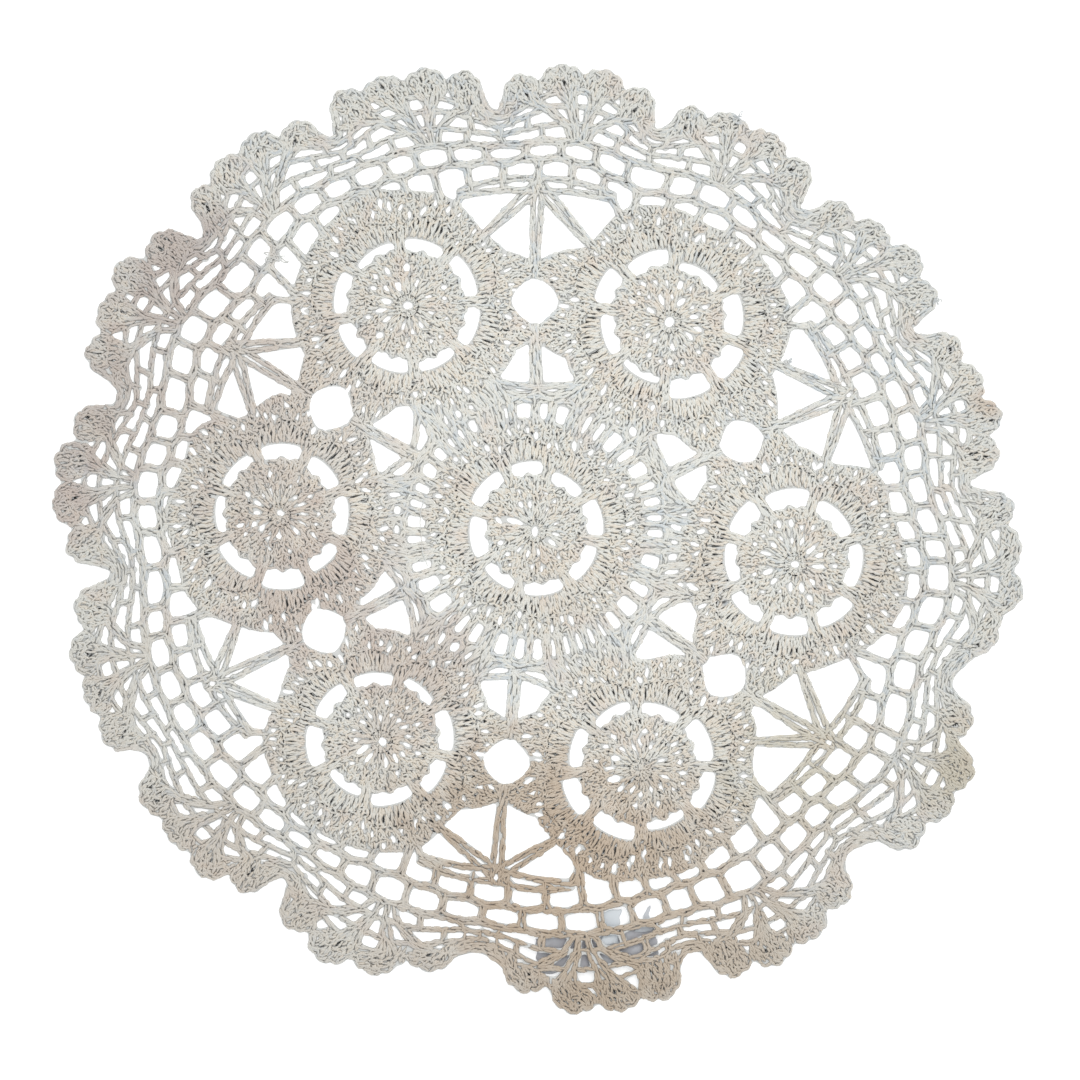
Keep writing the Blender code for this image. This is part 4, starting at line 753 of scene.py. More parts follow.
    def flow(self, seeds: Array, lean: Array, length: Array,
             steps: int) -> Array:
        """Walk both ways from the seeds along the lay, kept inside the edge and off the slits.

        Each step goes on by a share of the length in the lay's direction, turned by the
        lean and pointing on rather than back; a point too near the edge is pushed in along
        the level's slope, and one too near a slit away from it.

        Args:
            seeds: Plan points, (n, 2).
            lean: Turn from the lay, radians.
            length: Whole lengths.
            steps: Steps each way.

        Returns:
            Paths, (n, 2 steps + 1, 2).
        """
        stride = (length / (2 * steps))[:, None]
        sides = []
        for hand in (-1.0, 1.0):
            p, d, side = seeds.copy(), None, []
            for _ in range(steps):
                way = self.read(self.way, p)
                new = heading(0.5 * np.arctan2(way[:, 1], way[:, 0]) + lean)
                if d is None:
                    new = new * hand
                else:
                    new = new * np.where((new * d).sum(1) < 0, -1.0, 1.0)[:, None]
                    new = 0.5 * (new + d)
                d = new
                p = self.off_slits(p + d * stride)
                out = np.clip(self.read(self.level, p) + EDGE_IN, 0, EDGE_PUSH)[:, None]
                p = p - self.read(self.slope, p) * out
                side.append(p)
            sides.append(side)
        return np.stack(sides[0][::-1] + [self.off_slits(seeds)] + sides[1], 1)

    def off_slits(self, p: Array) -> Array:
        """Move points away from the slits, along the slope, until the strands clear them.

        Args:
            p: Plan points.

        Returns:
            The points moved.
        """
        slope = self.read(self.slit_slope, p)
        slope = slope / np.maximum(np.linalg.norm(slope, axis=1, keepdims=True), 0.3)
        return p + slope * np.clip(SLIT_CLEAR - self.read(self.slit, p), 0, SLIT_PUSH)[:, None]


# ------------------------------------------------------------------ yarn and back

@dataclass
class YarnLayer:
    """The yarn: strands laid on every zone, and dark low ones of painted shade along the slits."""

    drawing: Drawing
    random: np.random.Generator
    wild: tuple = (0.12, 2.2)       # share of strands that lie askew, and how much more they turn
    lengths: tuple = (0.72, 1.25)   # spread of the lengths
    seed_in: float = 0.14           # how far inside the edge a strand's middle begins
    inside: float = 0.07            # and its points end
    bridge: float = 0.1             # how far outside the places between them may lie
    deep: float = 1.25              # how far inside the edge strands stand full height
    seat: float = 0.10              # height of the lowest over the back
    droop: float = 0.20             # fall of the tips
    heights: tuple = (0.45, 1.55)   # limits of every height
    dark_in: float = 0.45           # how far inside the edge the slits' painted shade ends
    dark_seat: float = 0.16         # its height over the back
    dark_radius: tuple = (0.245, 0.20)      # low in the slits, and raised over the yarn

    def beds(self) -> dict:
        """Seeds for every zone, dealt to the pieces that own the places.

        Returns:
            A list of (zone, seeds) for each piece's name.
        """
        drawing, dealt = self.drawing, {}
        for zone, lay in LAYS.items():
            points = scatter(PLAN_HALF - 1, lay.spacing, self.random)
            rows, cols = drawing.cell_of(points)
            inside = ((drawing.zone[rows, cols] == zone.value)
                      & (drawing.read(drawing.level, points) < -self.seed_in)
                      & (drawing.read(drawing.slit, points) > 0.0))
            points, owner = points[inside], drawing.owner[rows, cols][inside]
            for number, name in enumerate(drawing.owners):
                mine = points[owner == number]
                if len(mine):
                    dealt.setdefault(name, []).append((zone, mine))
        return dealt

    def strands(self, zone: Zone, seeds: Array) -> dict:
        """Lay a zone's strands on its seeds, as one part of a mesh.

        A strand's height follows the root of how deep it lies inside the edge, less the
        square of the way to its tips.

        Args:
            zone: How the work is made there.
            seeds: Plan points of the strands' middles.

        Returns:
            The strands' mesh part.
        """
        lay, drawing, random, n = LAYS[zone], self.drawing, self.random, len(seeds)
        wild = np.where(random.uniform(0, 1, n) < self.wild[0], self.wild[1], 1.0)
        lean = np.radians(lay.lean) * random.normal(0, 1, n) * wild
        length = lay.length * random.uniform(*self.lengths, n)
        flat = drawing.flow(seeds, lean, length, lay.steps)
        level = drawing.read(drawing.level, flat)
        between = drawing.read(drawing.level, (flat[:, 1:] + flat[:, :-1]) / 2)
        inside = (level < -self.inside).all(1) & (between < self.bridge).all(1)
        flat, level, n = flat[inside], level[inside], int(inside.sum())
        share = np.linspace(-1, 1, flat.shape[1])[None, :]
        rise = (lay.high * np.sqrt(np.clip(-level / self.deep, 0, 1))
                + lay.rough * random.normal(0, 1, (n, 1)))
        up = GROUND_HIGH + self.seat + rise - self.droop * share**2
        paths = np.concatenate([flat, np.clip(up, *self.heights)[..., None]], -1)
        part = strand_mesh(paths, lay.radius, random)
        part["tone"] = np.clip(lay.tint + (part["tone"] - 0.5) * lay.vary, 0.01, 1.2)
        return part

    def slit_shade_strands(self) -> list:
        """Painted shade at the bottom of the slits: a dark strand along each.

        Returns:
            The mesh parts of the low ones and the raised ones.
        """
        drawing = self.drawing
        starts, ends, over = (np.concatenate(column) for column in zip(*drawing.slits))
        flat = np.stack([starts, (starts + ends) / 2, ends], 1)
        inside = drawing.read(drawing.level, flat[:, 1]) < -0.5
        flat, over = flat[inside], over[inside]
        level = drawing.read(drawing.level, flat)[..., None]
        flat = flat - drawing.read(drawing.slope, flat) * np.clip(level + self.dark_in, 0, 2)
        up = GROUND_HIGH + self.dark_seat + np.repeat(over[:, None, None], 3, axis=1)
        paths = np.concatenate([flat, up], -1)
        parts = [strand_mesh(paths[some], radius, self.random)
                 for some, radius in zip((over == 0, over > 0), self.dark_radius)]
        for part in parts:
            # painted shade: these tones give the slit strands a near-black colour
            part["tone"] = SLIT_SHADE_TONE - SLIT_DARKEN * part["tone"]
        return parts


# outline steps through a cell, thread on the left: corner bits are 1 lower left,
# 2 lower right, 4 upper right, 8 upper left
STEPS = {
    1: ("bl",), 2: ("rb",), 3: ("rl",), 4: ("tr",), 5: ("tl", "br"), 6: ("tb",), 7: ("tl",),
    8: ("lt",), 9: ("bt",), 10: ("lb", "rt"), 11: ("rt",), 12: ("lr",), 13: ("br",), 14: ("lb",),
}


@dataclass
class ShadedUnderlayer:
    """The work's under-layer of yarn, coloured in painted shade: one thin closed solid with every
    gap cut through.
    """

    drawing: Drawing
    out: float = 0.04           # how far it reaches beyond the drawn edge
    straight: float = 0.05      # how far a point dropped from the outline may lie off it
    longest: float = 2.4        # and how far apart its neighbours may be
    passes: int = 5
    corner: float = 0.06        # share of a cell's side kept between an outline and its corners

    def outline(self) -> tuple[Array, Array]:
        """Where the level crosses zero on the cells' edges, and the steps joining the points.

        Returns:
            Plan points and pairs of their numbers.
        """
        level, axis = self.drawing.level - self.out, self.drawing.axis
        n = len(axis)
        inside = level < 0
        case = (inside[:-1, :-1] * 1 + inside[:-1, 1:] * 2 + inside[1:, 1:] * 4
                + inside[1:, :-1] * 8)
        pairs = []
        for number, steps in STEPS.items():
            j, i = np.nonzero(case == number)
            edges = {"b": j * n + i, "t": (j + 1) * n + i,
                     "l": n * n + j * n + i, "r": n * n + j * n + i + 1}
            pairs += [np.stack([edges[s[0]], edges[s[1]]], -1) for s in steps]
        edges, pairs = np.unique(np.concatenate(pairs), return_inverse=True)
        upright = edges >= n * n
        j, i = np.divmod(edges % (n * n), n)
        j2, i2 = j + upright, i + ~upright
        a, b = level[j, i], level[j2, i2]
        t = np.clip(a / (a - b), self.corner, 1 - self.corner)
        points = np.stack([axis[i] + (axis[i2] - axis[i]) * t,
                           axis[j] + (axis[j2] - axis[j]) * t], -1)
        return self.thinned(points, pairs.reshape(-1, 2))

    def thinned(self, points: Array, pairs: Array) -> tuple[Array, Array]:
        """Drop points that lie close to the line between their neighbours.

        In each pass every point draws a number; one that is close to its neighbours' line
        and has drawn more than both of them goes, and they are joined.

        Args:
            points: Plan points of closed outlines.
            pairs: Steps from point to point.

        Returns:
            Fewer points and steps.
        """
        random = np.random.default_rng(5)
        after = np.empty(len(points), int)
        before = np.empty(len(points), int)
        after[pairs[:, 0]], before[pairs[:, 1]] = pairs[:, 1], pairs[:, 0]
        alive = np.ones(len(points), bool)
        for _ in range(self.passes):
            a, b = points[before], points[after]
            chord, own = b - a, points - a
            away = np.abs(chord[:, 0] * own[:, 1] - chord[:, 1] * own[:, 0])
            long = np.hypot(*chord.T)
            near = alive & (away < self.straight * long) & (long < self.longest)
            drawn = np.where(near, random.uniform(0, 1, len(points)), 0.0)
            gone = (drawn > 0) & (drawn > drawn[before]) & (drawn > drawn[after])
            alive &= ~gone
            after[before[gone]], before[after[gone]] = after[gone], before[gone]
        number = np.cumsum(alive) - 1
        return points[alive], np.stack([number, number[after]], -1)[alive]

    def raised_points(self) -> Array:
        """Points inside the work where it rises over the label, so that it can bend.

        Returns:
            Plan points.
        """
        axis = np.arange(-45, 45, 1.5)
        x, y = np.meshgrid(axis, axis)
        points = np.stack([x.ravel() + LABEL_X, y.ravel() + LABEL_Y], -1)
        inside = self.drawing.read(self.drawing.level, points) < self.out - 0.5
        return points[(sheet_lift(points) > 0) & inside]

    def mesh_part(self) -> dict:
        """Triangles between the outlines, above and below, and walls along every edge.

        Returns:
            A part as strand_mesh gives, and the area of one side.
        """
        points, pairs = self.outline()
        every = np.concatenate([points, self.raised_points()])
        flat, _, faces, _, _, _ = delaunay_2d_cdt(
            [Vector(p) for p in every.tolist()], pairs.tolist(), [], 0, 1e-4)
        flat = np.array([tuple(v) for v in flat])
        faces = np.array([face for face in faces if len(face) == 3])
        faces = faces[self.drawing.read(self.drawing.level, flat[faces].mean(1)) < self.out]
        a, b, c = flat[faces[:, 0]], flat[faces[:, 1]], flat[faces[:, 2]]
        area = (b - a)[:, 0] * (c - a)[:, 1] - (b - a)[:, 1] * (c - a)[:, 0]
        faces[area < 0] = faces[area < 0][:, ::-1]
        count = len(flat)
        start, end = faces.ravel(), np.roll(faces, -1, axis=1).ravel()
        edge = ~np.isin(start * count + end, end * count + start)
        start, end = start[edge], end[edge]
        walls = np.stack([start + count, end + count, end, start], -1)
        up = np.repeat([GROUND_HIGH, GROUND_LOW], count)
        # the under-layer's tone colours it in painted shade, darker than the strands
        return {"points": np.column_stack([np.concatenate([flat, flat]), up]),
                "faces": [walls, faces, faces[:, ::-1] + count],
                "corner": np.zeros((walls.size, 2)), "tone": np.full(2 * count, GROUND_SHADE_TONE),
                "area": float(np.abs(area).sum() / 2)}


# ------------------------------------------------------------------ meshes

def strand_mesh(paths: Array, radius: float, random: np.random.Generator,
                sides: int = 3) -> dict:
    """Strands with a round profile between two tips.

    A path's ends are its tips; every point between them gets a ring, standing square to the
    path: one axis level, the other upwards, much flatter.  A path of three points gets its
    ring doubled, each half moved a share of the way to its tip.

    Args:
        paths: Points of the strands: x, y, height, mm.
        radius: Radius of the strands.
        random: The piece's random numbers.
        sides: Sides of the profile.

    Returns:
        Points, faces, their corners' places along and round the yarn, and each point's tone.
    """
    if paths.shape[1] == 3:
        low, mid, high = paths[:, :1], paths[:, 1:2], paths[:, 2:]
        paths = np.concatenate([low, mid + (low - mid) * STRAND_BELLY,
                                mid + (high - mid) * STRAND_BELLY, high], 1)
    n, m = paths.shape[:2]
    direction = np.gradient(paths, axis=1)[:, 1:-1]
    direction = direction / np.maximum(np.linalg.norm(direction, axis=2, keepdims=True), 1e-9)
    level = np.stack([direction[..., 1], -direction[..., 0], np.zeros((n, m - 2))], -1)
    level /= np.maximum(np.linalg.norm(level, axis=2, keepdims=True), 1e-6)
    upright = np.cross(level, direction)
    angle = math.pi / 2 - 2 * math.pi * np.arange(sides) / sides
    thick = radius * (1 + STRAND_UNEVEN * random.normal(0, 1, (n, 1, 1, 1)))
    ring = paths[:, 1:-1, None] + thick * (
        STRAND_WIDE * np.cos(angle)[None, None, :, None] * level[:, :, None]
        + STRAND_HIGH * np.sin(angle)[None, None, :, None] * upright[:, :, None])
    points = np.concatenate([paths[:, :1], ring.reshape(n, -1, 3), paths[:, -1:]], 1)
    each = points.shape[1]
    index = np.arange(n * each).reshape(n, each)
    rings = index[:, 1:-1].reshape(n, m - 2, sides)
    beside = np.roll(rings, -1, axis=2)
    first = np.broadcast_to(index[:, :1], (n, sides))
    last = np.broadcast_to(index[:, -1:], (n, sides))
    quads = np.stack([rings[:, :-1], beside[:, :-1], beside[:, 1:], rings[:, 1:]], -1)
    tips = np.concatenate([np.stack([first, beside[:, 0], rings[:, 0]], -1),
                           np.stack([rings[:, -1], beside[:, -1], last], -1)], 1)
    run = np.concatenate([np.zeros((n, 1)), np.cumsum(
        np.linalg.norm(np.diff(paths, axis=1), axis=2), axis=1)], axis=1)
    v0, v1 = np.arange(sides) / sides, (np.arange(sides) + 1) / sides
    u0, u1 = run[:, 1:-2, None], run[:, 2:-1, None]
    corner = np.stack(np.broadcast_arrays(u0, v0, u0, v1, u1, v1, u1, v0), -1)
    start, end = run[:, :1], run[:, -1:]
    near, far = run[:, 1:2], run[:, -2:-1]
    tipped = np.concatenate([np.stack(np.broadcast_arrays(start, v0, near, v1, near, v0), -1),
                             np.stack(np.broadcast_arrays(far, v0, far, v1, end, v1), -1)], 1)
    return {"points": points.reshape(-1, 3), "faces": [quads.reshape(-1, 4), tips.reshape(-1, 3)],
            "corner": np.concatenate([corner.reshape(-1, 2), tipped.reshape(-1, 2)]),
            "tone": np.repeat(random.uniform(0, 1, n), each)}


def placed(name: str, data: object) -> bpy.types.Object:
    """A new object in the scene, with its data: a mesh, a light or a camera."""
    thing = bpy.data.objects.new(name, data)
    bpy.context.scene.collection.objects.link(thing)
    return thing


def tone_mesh(mesh: bpy.types.Mesh, tones: list) -> None:
    """Give each point of a mesh its tone, joined from its parts' lists."""
    tone = mesh.attributes.new("tone", "FLOAT", "POINT")
    tone.data.foreach_set("value", np.concatenate(tones).astype(np.float32))


def starts_of(parts: list) -> Array:
    """Number of each part's first item, when lists are joined."""
    return np.cumsum([0] + [len(part) for part in parts[:-1]])


def mesh_object(name: str, parts: list, material: bpy.types.Material,
                smooth: bool = True) -> bpy.types.Object:
    """Join parts into one mesh object, moved from the plan into the row frame.

    Args:
        name: The piece's name.
        parts: What strand_mesh returned.
        material: Its finish.
        smooth: False for flat facets.

    Returns:
        The object, linked to the scene.
    """
    points = np.concatenate([part["points"] for part in parts])
    points[:, 2] += sheet_lift(points[:, :2])
    points[:, :2] += PLAN_MIDDLE
    faces, spun = [], []
    for part, start in zip(parts, starts_of([part["points"] for part in parts])):
        bare = sum(f.size for f in part["faces"]) - len(part["corner"])
        faces += [f + start for f in part["faces"]]
        spun += [part["corner"], np.zeros((bare, 2))]
    loops = np.concatenate([f.ravel() for f in faces])
    sizes = np.concatenate([np.full(len(f), f.shape[1]) for f in faces])
    starts = np.concatenate([[0], np.cumsum(sizes)[:-1]])
    mesh = bpy.data.meshes.new(name)
    mesh.vertices.add(len(points))
    mesh.vertices.foreach_set("co", (points * MM).astype(np.float32).ravel())
    mesh.loops.add(len(loops))
    mesh.loops.foreach_set("vertex_index", loops.astype(np.int32))
    mesh.polygons.add(len(sizes))
    mesh.polygons.foreach_set("loop_start", starts.astype(np.int32))
    mesh.polygons.foreach_set("use_smooth", np.full(len(sizes), smooth))
    uv = np.concatenate(spun).astype(np.float32)
    mesh.uv_layers.new(name="spun").data.foreach_set("uv", uv.ravel())
    tone_mesh(mesh, [part["tone"] for part in parts])
    mesh.update(calc_edges=True)
    mesh.validate()
    mesh.materials.append(material)
    return placed(name, mesh)


# ------------------------------------------------------------------ finishes

class Surface(Enum):
    """The finishes of the pieces."""

    COTTON = "aged_cotton"
    SATIN = "label_satin"
    FLOOR = "pale_floor"


@dataclass(frozen=True)
class Stain:
    """A round mark on the cotton: its place in the row frame and radius, mm, and its colour."""

    x: float
    y: float
    radius: float
    strength: float
    colour: tuple


@dataclass(frozen=True)
class Cloud:
    """Noise stretched between two limits."""

    scale: float
    detail: float
    low: float
    high: float
    strength: float


class Nodes:
    """Short calls for a new material's nodes."""

    def __init__(self, surface: Surface) -> None:
        """Start the material of a surface."""
        self.material = bpy.data.materials.new(surface.value)
        self.material.use_nodes = True
        self.tree = self.material.node_tree
        self.shader = self.tree.nodes["Principled BSDF"]

    def add(self, kind: str, **values: object) -> bpy.types.Node:
        """A node of a kind, set up as feed does.

        Args:
            kind: Its kind's name without its first words.
            values: Its properties and inputs.

        Returns:
            The node.
        """
        return self.feed(self.tree.nodes.new("ShaderNode" + kind), **values)

    def feed(self, node: bpy.types.Node, **values: object) -> bpy.types.Node:
        """Set a node's properties, and its inputs to a value or a link.

        Args:
            node: The node.
            values: By name, with underscores for spaces.

        Returns:
            The node.
        """
        for key, value in values.items():
            if hasattr(node, key):
                setattr(node, key, value)
            elif isinstance(value, bpy.types.NodeSocket):
                self.tree.links.new(value, node.inputs[key.replace("_", " ")])
            else:
                node.inputs[key.replace("_", " ")].default_value = value
        return node

    def place(self) -> Socket:
        """The place on the object, in metres."""
        return self.add("TexCoord").outputs["Object"]

    def tone(self) -> Socket:
        """The tone of the point."""
        return self.add("Attribute", attribute_name="tone").outputs["Fac"]

    def parts(self, vector: Socket) -> tuple:
        """X and Y of a vector."""
        node = self.add("SeparateXYZ")
        self.tree.links.new(vector, node.inputs[0])
        return node.outputs["X"], node.outputs["Y"]

    def math(self, operation: str, a: object, b: object = 0.0,
             clamp: bool = False) -> Socket:
        """One operation on two sockets or numbers.

        Args:
            operation: Its name.
            a: A socket or number.
            b: And another.
            clamp: Whether the result is kept between 0 and 1.

        Returns:
            The result's socket.
        """
        node = self.add("Math", operation=operation, use_clamp=clamp)
        for socket, value in zip(node.inputs, (a, b)):
            if isinstance(value, (int, float)):
                socket.default_value = value
            else:
                self.tree.links.new(value, socket)
        return node.outputs[0]

    def plus(self, a: object, b: object, clamp: bool = False) -> Socket:
        """The sum of two."""
        return self.math("ADD", a, b, clamp)

    def times(self, a: object, b: object, clamp: bool = False) -> Socket:
        """The product of two."""
        return self.math("MULTIPLY", a, b, clamp)

    def noise(self, place: Socket, scale: float,
              detail: float) -> Socket:
        """Fractal noise between 0 and 1."""
        return self.add("TexNoise", Scale=scale, Detail=detail, Vector=place).outputs["Fac"]

    def ramp(self, value: Socket, low: float, high: float) -> Socket:
        """A value stretched so that low gives 0 and high gives 1."""
        node = self.add("MapRange", interpolation_type="SMOOTHSTEP", From_Min=low, From_Max=high,
                        Value=value)
        return node.outputs["Result"]

    def cloud(self, place: Socket, cloud: Cloud) -> Socket:
        """The share that a cloud gives at a place."""
        fog = self.ramp(self.noise(place, cloud.scale, cloud.detail), cloud.low, cloud.high)
        return self.times(fog, cloud.strength)

    def mix(self, share: object, a: object, b: object,
            blend: str = "MIX") -> Socket:
        """Two colours mixed.

        Args:
            share: The second one's share, a socket or a number.
            a: The first, a socket or a colour.
            b: The second.
            blend: The way of mixing.

        Returns:
            The mixture's socket.
        """
        node = self.add("Mix", data_type="RGBA", blend_type=blend)
        for socket, value in ((node.inputs[0], share), (node.inputs[6], a), (node.inputs[7], b)):
            if isinstance(value, bpy.types.NodeSocket):
                self.tree.links.new(value, socket)
            else:
                socket.default_value = (*value, 1.0) if isinstance(value, tuple) else value
        return node.outputs[2]

    def bump(self, height: Socket, strength: float, distance: float) -> None:
        """Give the shader a bump.

        Args:
            height: Its height.
            strength: How much it counts.
            distance: What a height of 1 stands for, metres.
        """
        bump = self.add("Bump", Strength=strength, Distance=distance, Height=height)
        self.feed(self.shader, Normal=bump.outputs["Normal"])


@dataclass(frozen=True)
class CottonFinish:
    """Aged ecru crochet cotton: cream, greyish and pinkish strands, with flecks and stains, and
    darker tones of painted shade for the under-layer and the slits.
    """

    pale: tuple = (0.81, 0.81, 0.765)
    cream: tuple = (0.83, 0.775, 0.68)
    cool: tuple = (0.655, 0.705, 0.735)
    blush: tuple = (0.78, 0.645, 0.56)
    aged: tuple = (0.66, 0.575, 0.485)
    # painted shade: the under-layer's colour, darker than the strands, as the shade between them
    back: tuple = (0.66, 0.665, 0.65)
    # painted shade: near black, the colour of the slit strands
    slit_shade_colour: tuple = (0.022, 0.023, 0.022)
    stains: tuple = (
        Stain(4.0, -112.0, 60.0, 1.00, (0.61, 0.495, 0.38)),
        Stain(-16.0, -96.0, 40.0, 0.75, (0.56, 0.465, 0.365)),
        Stain(46.0, -130.0, 58.0, 0.80, (0.63, 0.53, 0.42)),
        Stain(16.0, -146.0, 36.0, 0.60, (0.57, 0.47, 0.36)),
        Stain(75.0, -134.0, 28.0, 0.45, (0.63, 0.56, 0.47)),
        Stain(-74.0, -15.0, 40.0, 0.70, (0.61, 0.515, 0.455)),
        Stain(-40.0, -44.0, 30.0, 0.60, (0.60, 0.51, 0.45)),
        Stain(-92.0, 45.0, 62.0, 0.55, (0.64, 0.555, 0.49)),
        Stain(-118.0, 92.0, 36.0, 0.75, (0.58, 0.50, 0.455)),
        Stain(-148.0, 48.0, 44.0, 0.65, (0.59, 0.51, 0.46)),
        Stain(-160.0, 12.0, 26.0, 0.60, (0.59, 0.49, 0.44)),
        Stain(143.0, -76.0, 26.0, 0.60, (0.62, 0.56, 0.43)),
        Stain(88.0, -72.0, 38.0, 0.50, (0.65, 0.59, 0.455)),
        Stain(149.0, 45.0, 8.0, 0.45, (0.64, 0.47, 0.33)),
        Stain(62.0, -21.0, 2.0, 0.7, (0.30, 0.34, 0.38)),
        Stain(67.0, 62.0, 5.0, 0.35, (0.62, 0.48, 0.34)),
    )
    stain_edge: tuple = (1.5, 0.6)          # shares of its radius at which a stain ends, is full
    warm_noise: tuple = (60.0, 2.0, 0.9)    # scale and detail, and what it adds to the tone
    warm: tuple = (0.90, 1.50)              # tones from pale to cream
    cold: tuple = (0.75, 0.25)              # and from pale to cool
    blushes: Cloud = Cloud(95.0, 4.0, 0.50, 0.68, 0.30)
    patches: Cloud = Cloud(26.0, 3.0, 0.45, 1.0, 0.62)
    patch_lean: tuple = (-0.4, -1.9)        # less of them to the right and to the top, per metre
    flecks: Cloud = Cloud(900.0, 2.0, 0.62, 0.76, 0.35)
    darkened: tuple = (0.060, 0.150)          # metres from the middle over which the colour grows darker
    edge_darkening: float = 0.90                 # how much of its brightness the edging keeps
    twist: float = 1.3                      # length of the plies' turn, mm
    ply: float = 0.5                        # share of the plies in the bump; the rest is fibres
    fibres: tuple = (3500.0, 2.0)

    def material(self) -> bpy.types.Material:
        """Build the yarn's node material.

        Returns:
            The material: tones by place, by strand and by fleck, and a spun ply in the bump.
        """
        nodes = Nodes(Surface.COTTON)
        place = nodes.place()
        x, y = nodes.parts(place)
        tone = nodes.tone()
        scale, detail, share = self.warm_noise
        warm = nodes.plus(tone, nodes.times(nodes.noise(place, scale, detail), share))
        colour = nodes.mix(nodes.ramp(warm, *self.warm), self.pale, self.cream)
        colour = nodes.mix(nodes.ramp(warm, *self.cold), colour, self.cool)
        colour = nodes.mix(nodes.cloud(place, self.blushes), colour, self.blush)
        lean = nodes.plus(nodes.times(x, self.patch_lean[0]), nodes.times(y, self.patch_lean[1]))
        some = self.patches
        patch = nodes.plus(nodes.noise(place, some.scale, some.detail), lean)
        patch = nodes.times(nodes.ramp(patch, some.low, some.high), some.strength)
        colour = nodes.mix(patch, colour, self.aged)
        for stain in self.stains:
            colour = self.marked(nodes, place, colour, stain)
        # darker away from the middle: the edging keeps a share of its brightness
        away = nodes.add("VectorMath", operation="LENGTH")
        nodes.tree.links.new(place, away.inputs[0])
        darken_share = nodes.ramp(away.outputs["Value"], *self.darkened)
        darkened = nodes.mix(1.0, colour, (self.edge_darkening,) * 3, "MULTIPLY")
        colour = nodes.mix(darken_share, colour, darkened)
        colour = nodes.mix(nodes.cloud(place, self.flecks), colour, self.aged)
        # painted shade: tones below 0 turn to the under-layer's darker colour
        colour = nodes.mix(nodes.times(tone, -1.0, clamp=True), colour, self.back)
        # painted shade: tones below -1.2 darken towards the slit strands' near black
        dark = nodes.times(nodes.plus(tone, 1.2), -0.7, clamp=True)
        colour = nodes.mix(dark, colour, self.slit_shade_colour)
        nodes.feed(nodes.shader, Base_Color=colour, Roughness=0.92, Sheen_Weight=0.12,
                   Specular_IOR_Level=0.2)
        self.spin(nodes, place)
        return nodes.material

    def marked(self, nodes: Nodes, place: Socket, colour: Socket,
               stain: Stain) -> Socket:
        """Add a stain: its share falls off with the distance, which noise breaks up.

        Args:
            nodes: The material's nodes.
            place: The place on the object.
            colour: The colour so far.
            stain: The stain.

        Returns:
            The colour with it.
        """
        away = nodes.add("VectorMath", operation="DISTANCE")
        nodes.tree.links.new(place, away.inputs[0])
        away.inputs[1].default_value = (stain.x * MM, stain.y * MM, MM)
        wander = nodes.times(nodes.noise(place, 120.0, 3.0), stain.radius * MM)
        share = nodes.ramp(nodes.plus(away.outputs["Value"], wander),
                           *(stain.radius * share * MM for share in self.stain_edge))
        return nodes.mix(nodes.times(share, stain.strength), colour, stain.colour)

    def spin(self, nodes: Nodes, place: Socket) -> None:
        """Bump of two plies: the sine of the way along plus twice the way round, and fibres.

        Args:
            nodes: The material's nodes.
            place: The place on the object.
        """
        along, round_it = nodes.parts(nodes.add("UVMap", uv_map="spun").outputs["UV"])
        phase = nodes.plus(nodes.times(along, 2 * math.pi / self.twist),
                           nodes.times(round_it, 4 * math.pi))
        ply = nodes.times(nodes.math("SINE", phase), self.ply)
        nodes.bump(nodes.plus(ply, nodes.noise(place, *self.fibres)), 0.4, 0.0001)


@dataclass(frozen=True)
class SatinFinish:
    """The label's bare satin: pale blue-white, fine cross ribs and a soft shine."""

    colour: tuple = (0.66, 0.70, 0.735)
    # painted shade: the strip's colour where the lace shades it
    shade_under_lace: tuple = (0.39, 0.385, 0.41)
    sheens: Cloud = Cloud(160.0, 3.0, 0.40, 0.70, 0.35)

    def material(self) -> bpy.types.Material:
        """Build the satin's nodes: painted shade where the lace covers it, pale where it stands
        out, with noise patches of painted sheen.

        Returns:
            The material.
        """
        nodes = Nodes(Surface.SATIN)
        place = nodes.place()
        pale = nodes.plus(nodes.tone(), nodes.cloud(place, self.sheens), clamp=True)
        # painted shade on the strip under the lace, pale on what stands out
        nodes.feed(nodes.shader, Base_Color=nodes.mix(pale, self.shade_under_lace, self.colour),
                   Roughness=0.45, Sheen_Weight=0.2)
        wave = nodes.add("TexWave", bands_direction="X", Scale=900.0, Vector=place)
        nodes.bump(wave.outputs["Fac"], 0.25, 0.00005)
        return nodes.material


@dataclass(frozen=True)
class FloorFinish:
    """A plain near-white table, a little bright of itself so that it shows pale in the gaps."""

    colour: tuple = (0.90, 0.90, 0.90)
    glow: float = 0.35

    def material(self) -> bpy.types.Material:
        """Build the table's material."""
        nodes = Nodes(Surface.FLOOR)
        nodes.feed(nodes.shader, Base_Color=(*self.colour, 1.0), Roughness=0.9,
                   Emission_Color=(1.0, 1.0, 1.0, 1.0), Emission_Strength=self.glow)
        return nodes.material


# ------------------------------------------------------------------ sub-assemblies

def dress(piece: bpy.types.Object, node: str) -> None:
    """Ride a piece on the doily, and let it stand for its CAD node, which is hidden."""
    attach(piece, "root")
    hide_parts(node)


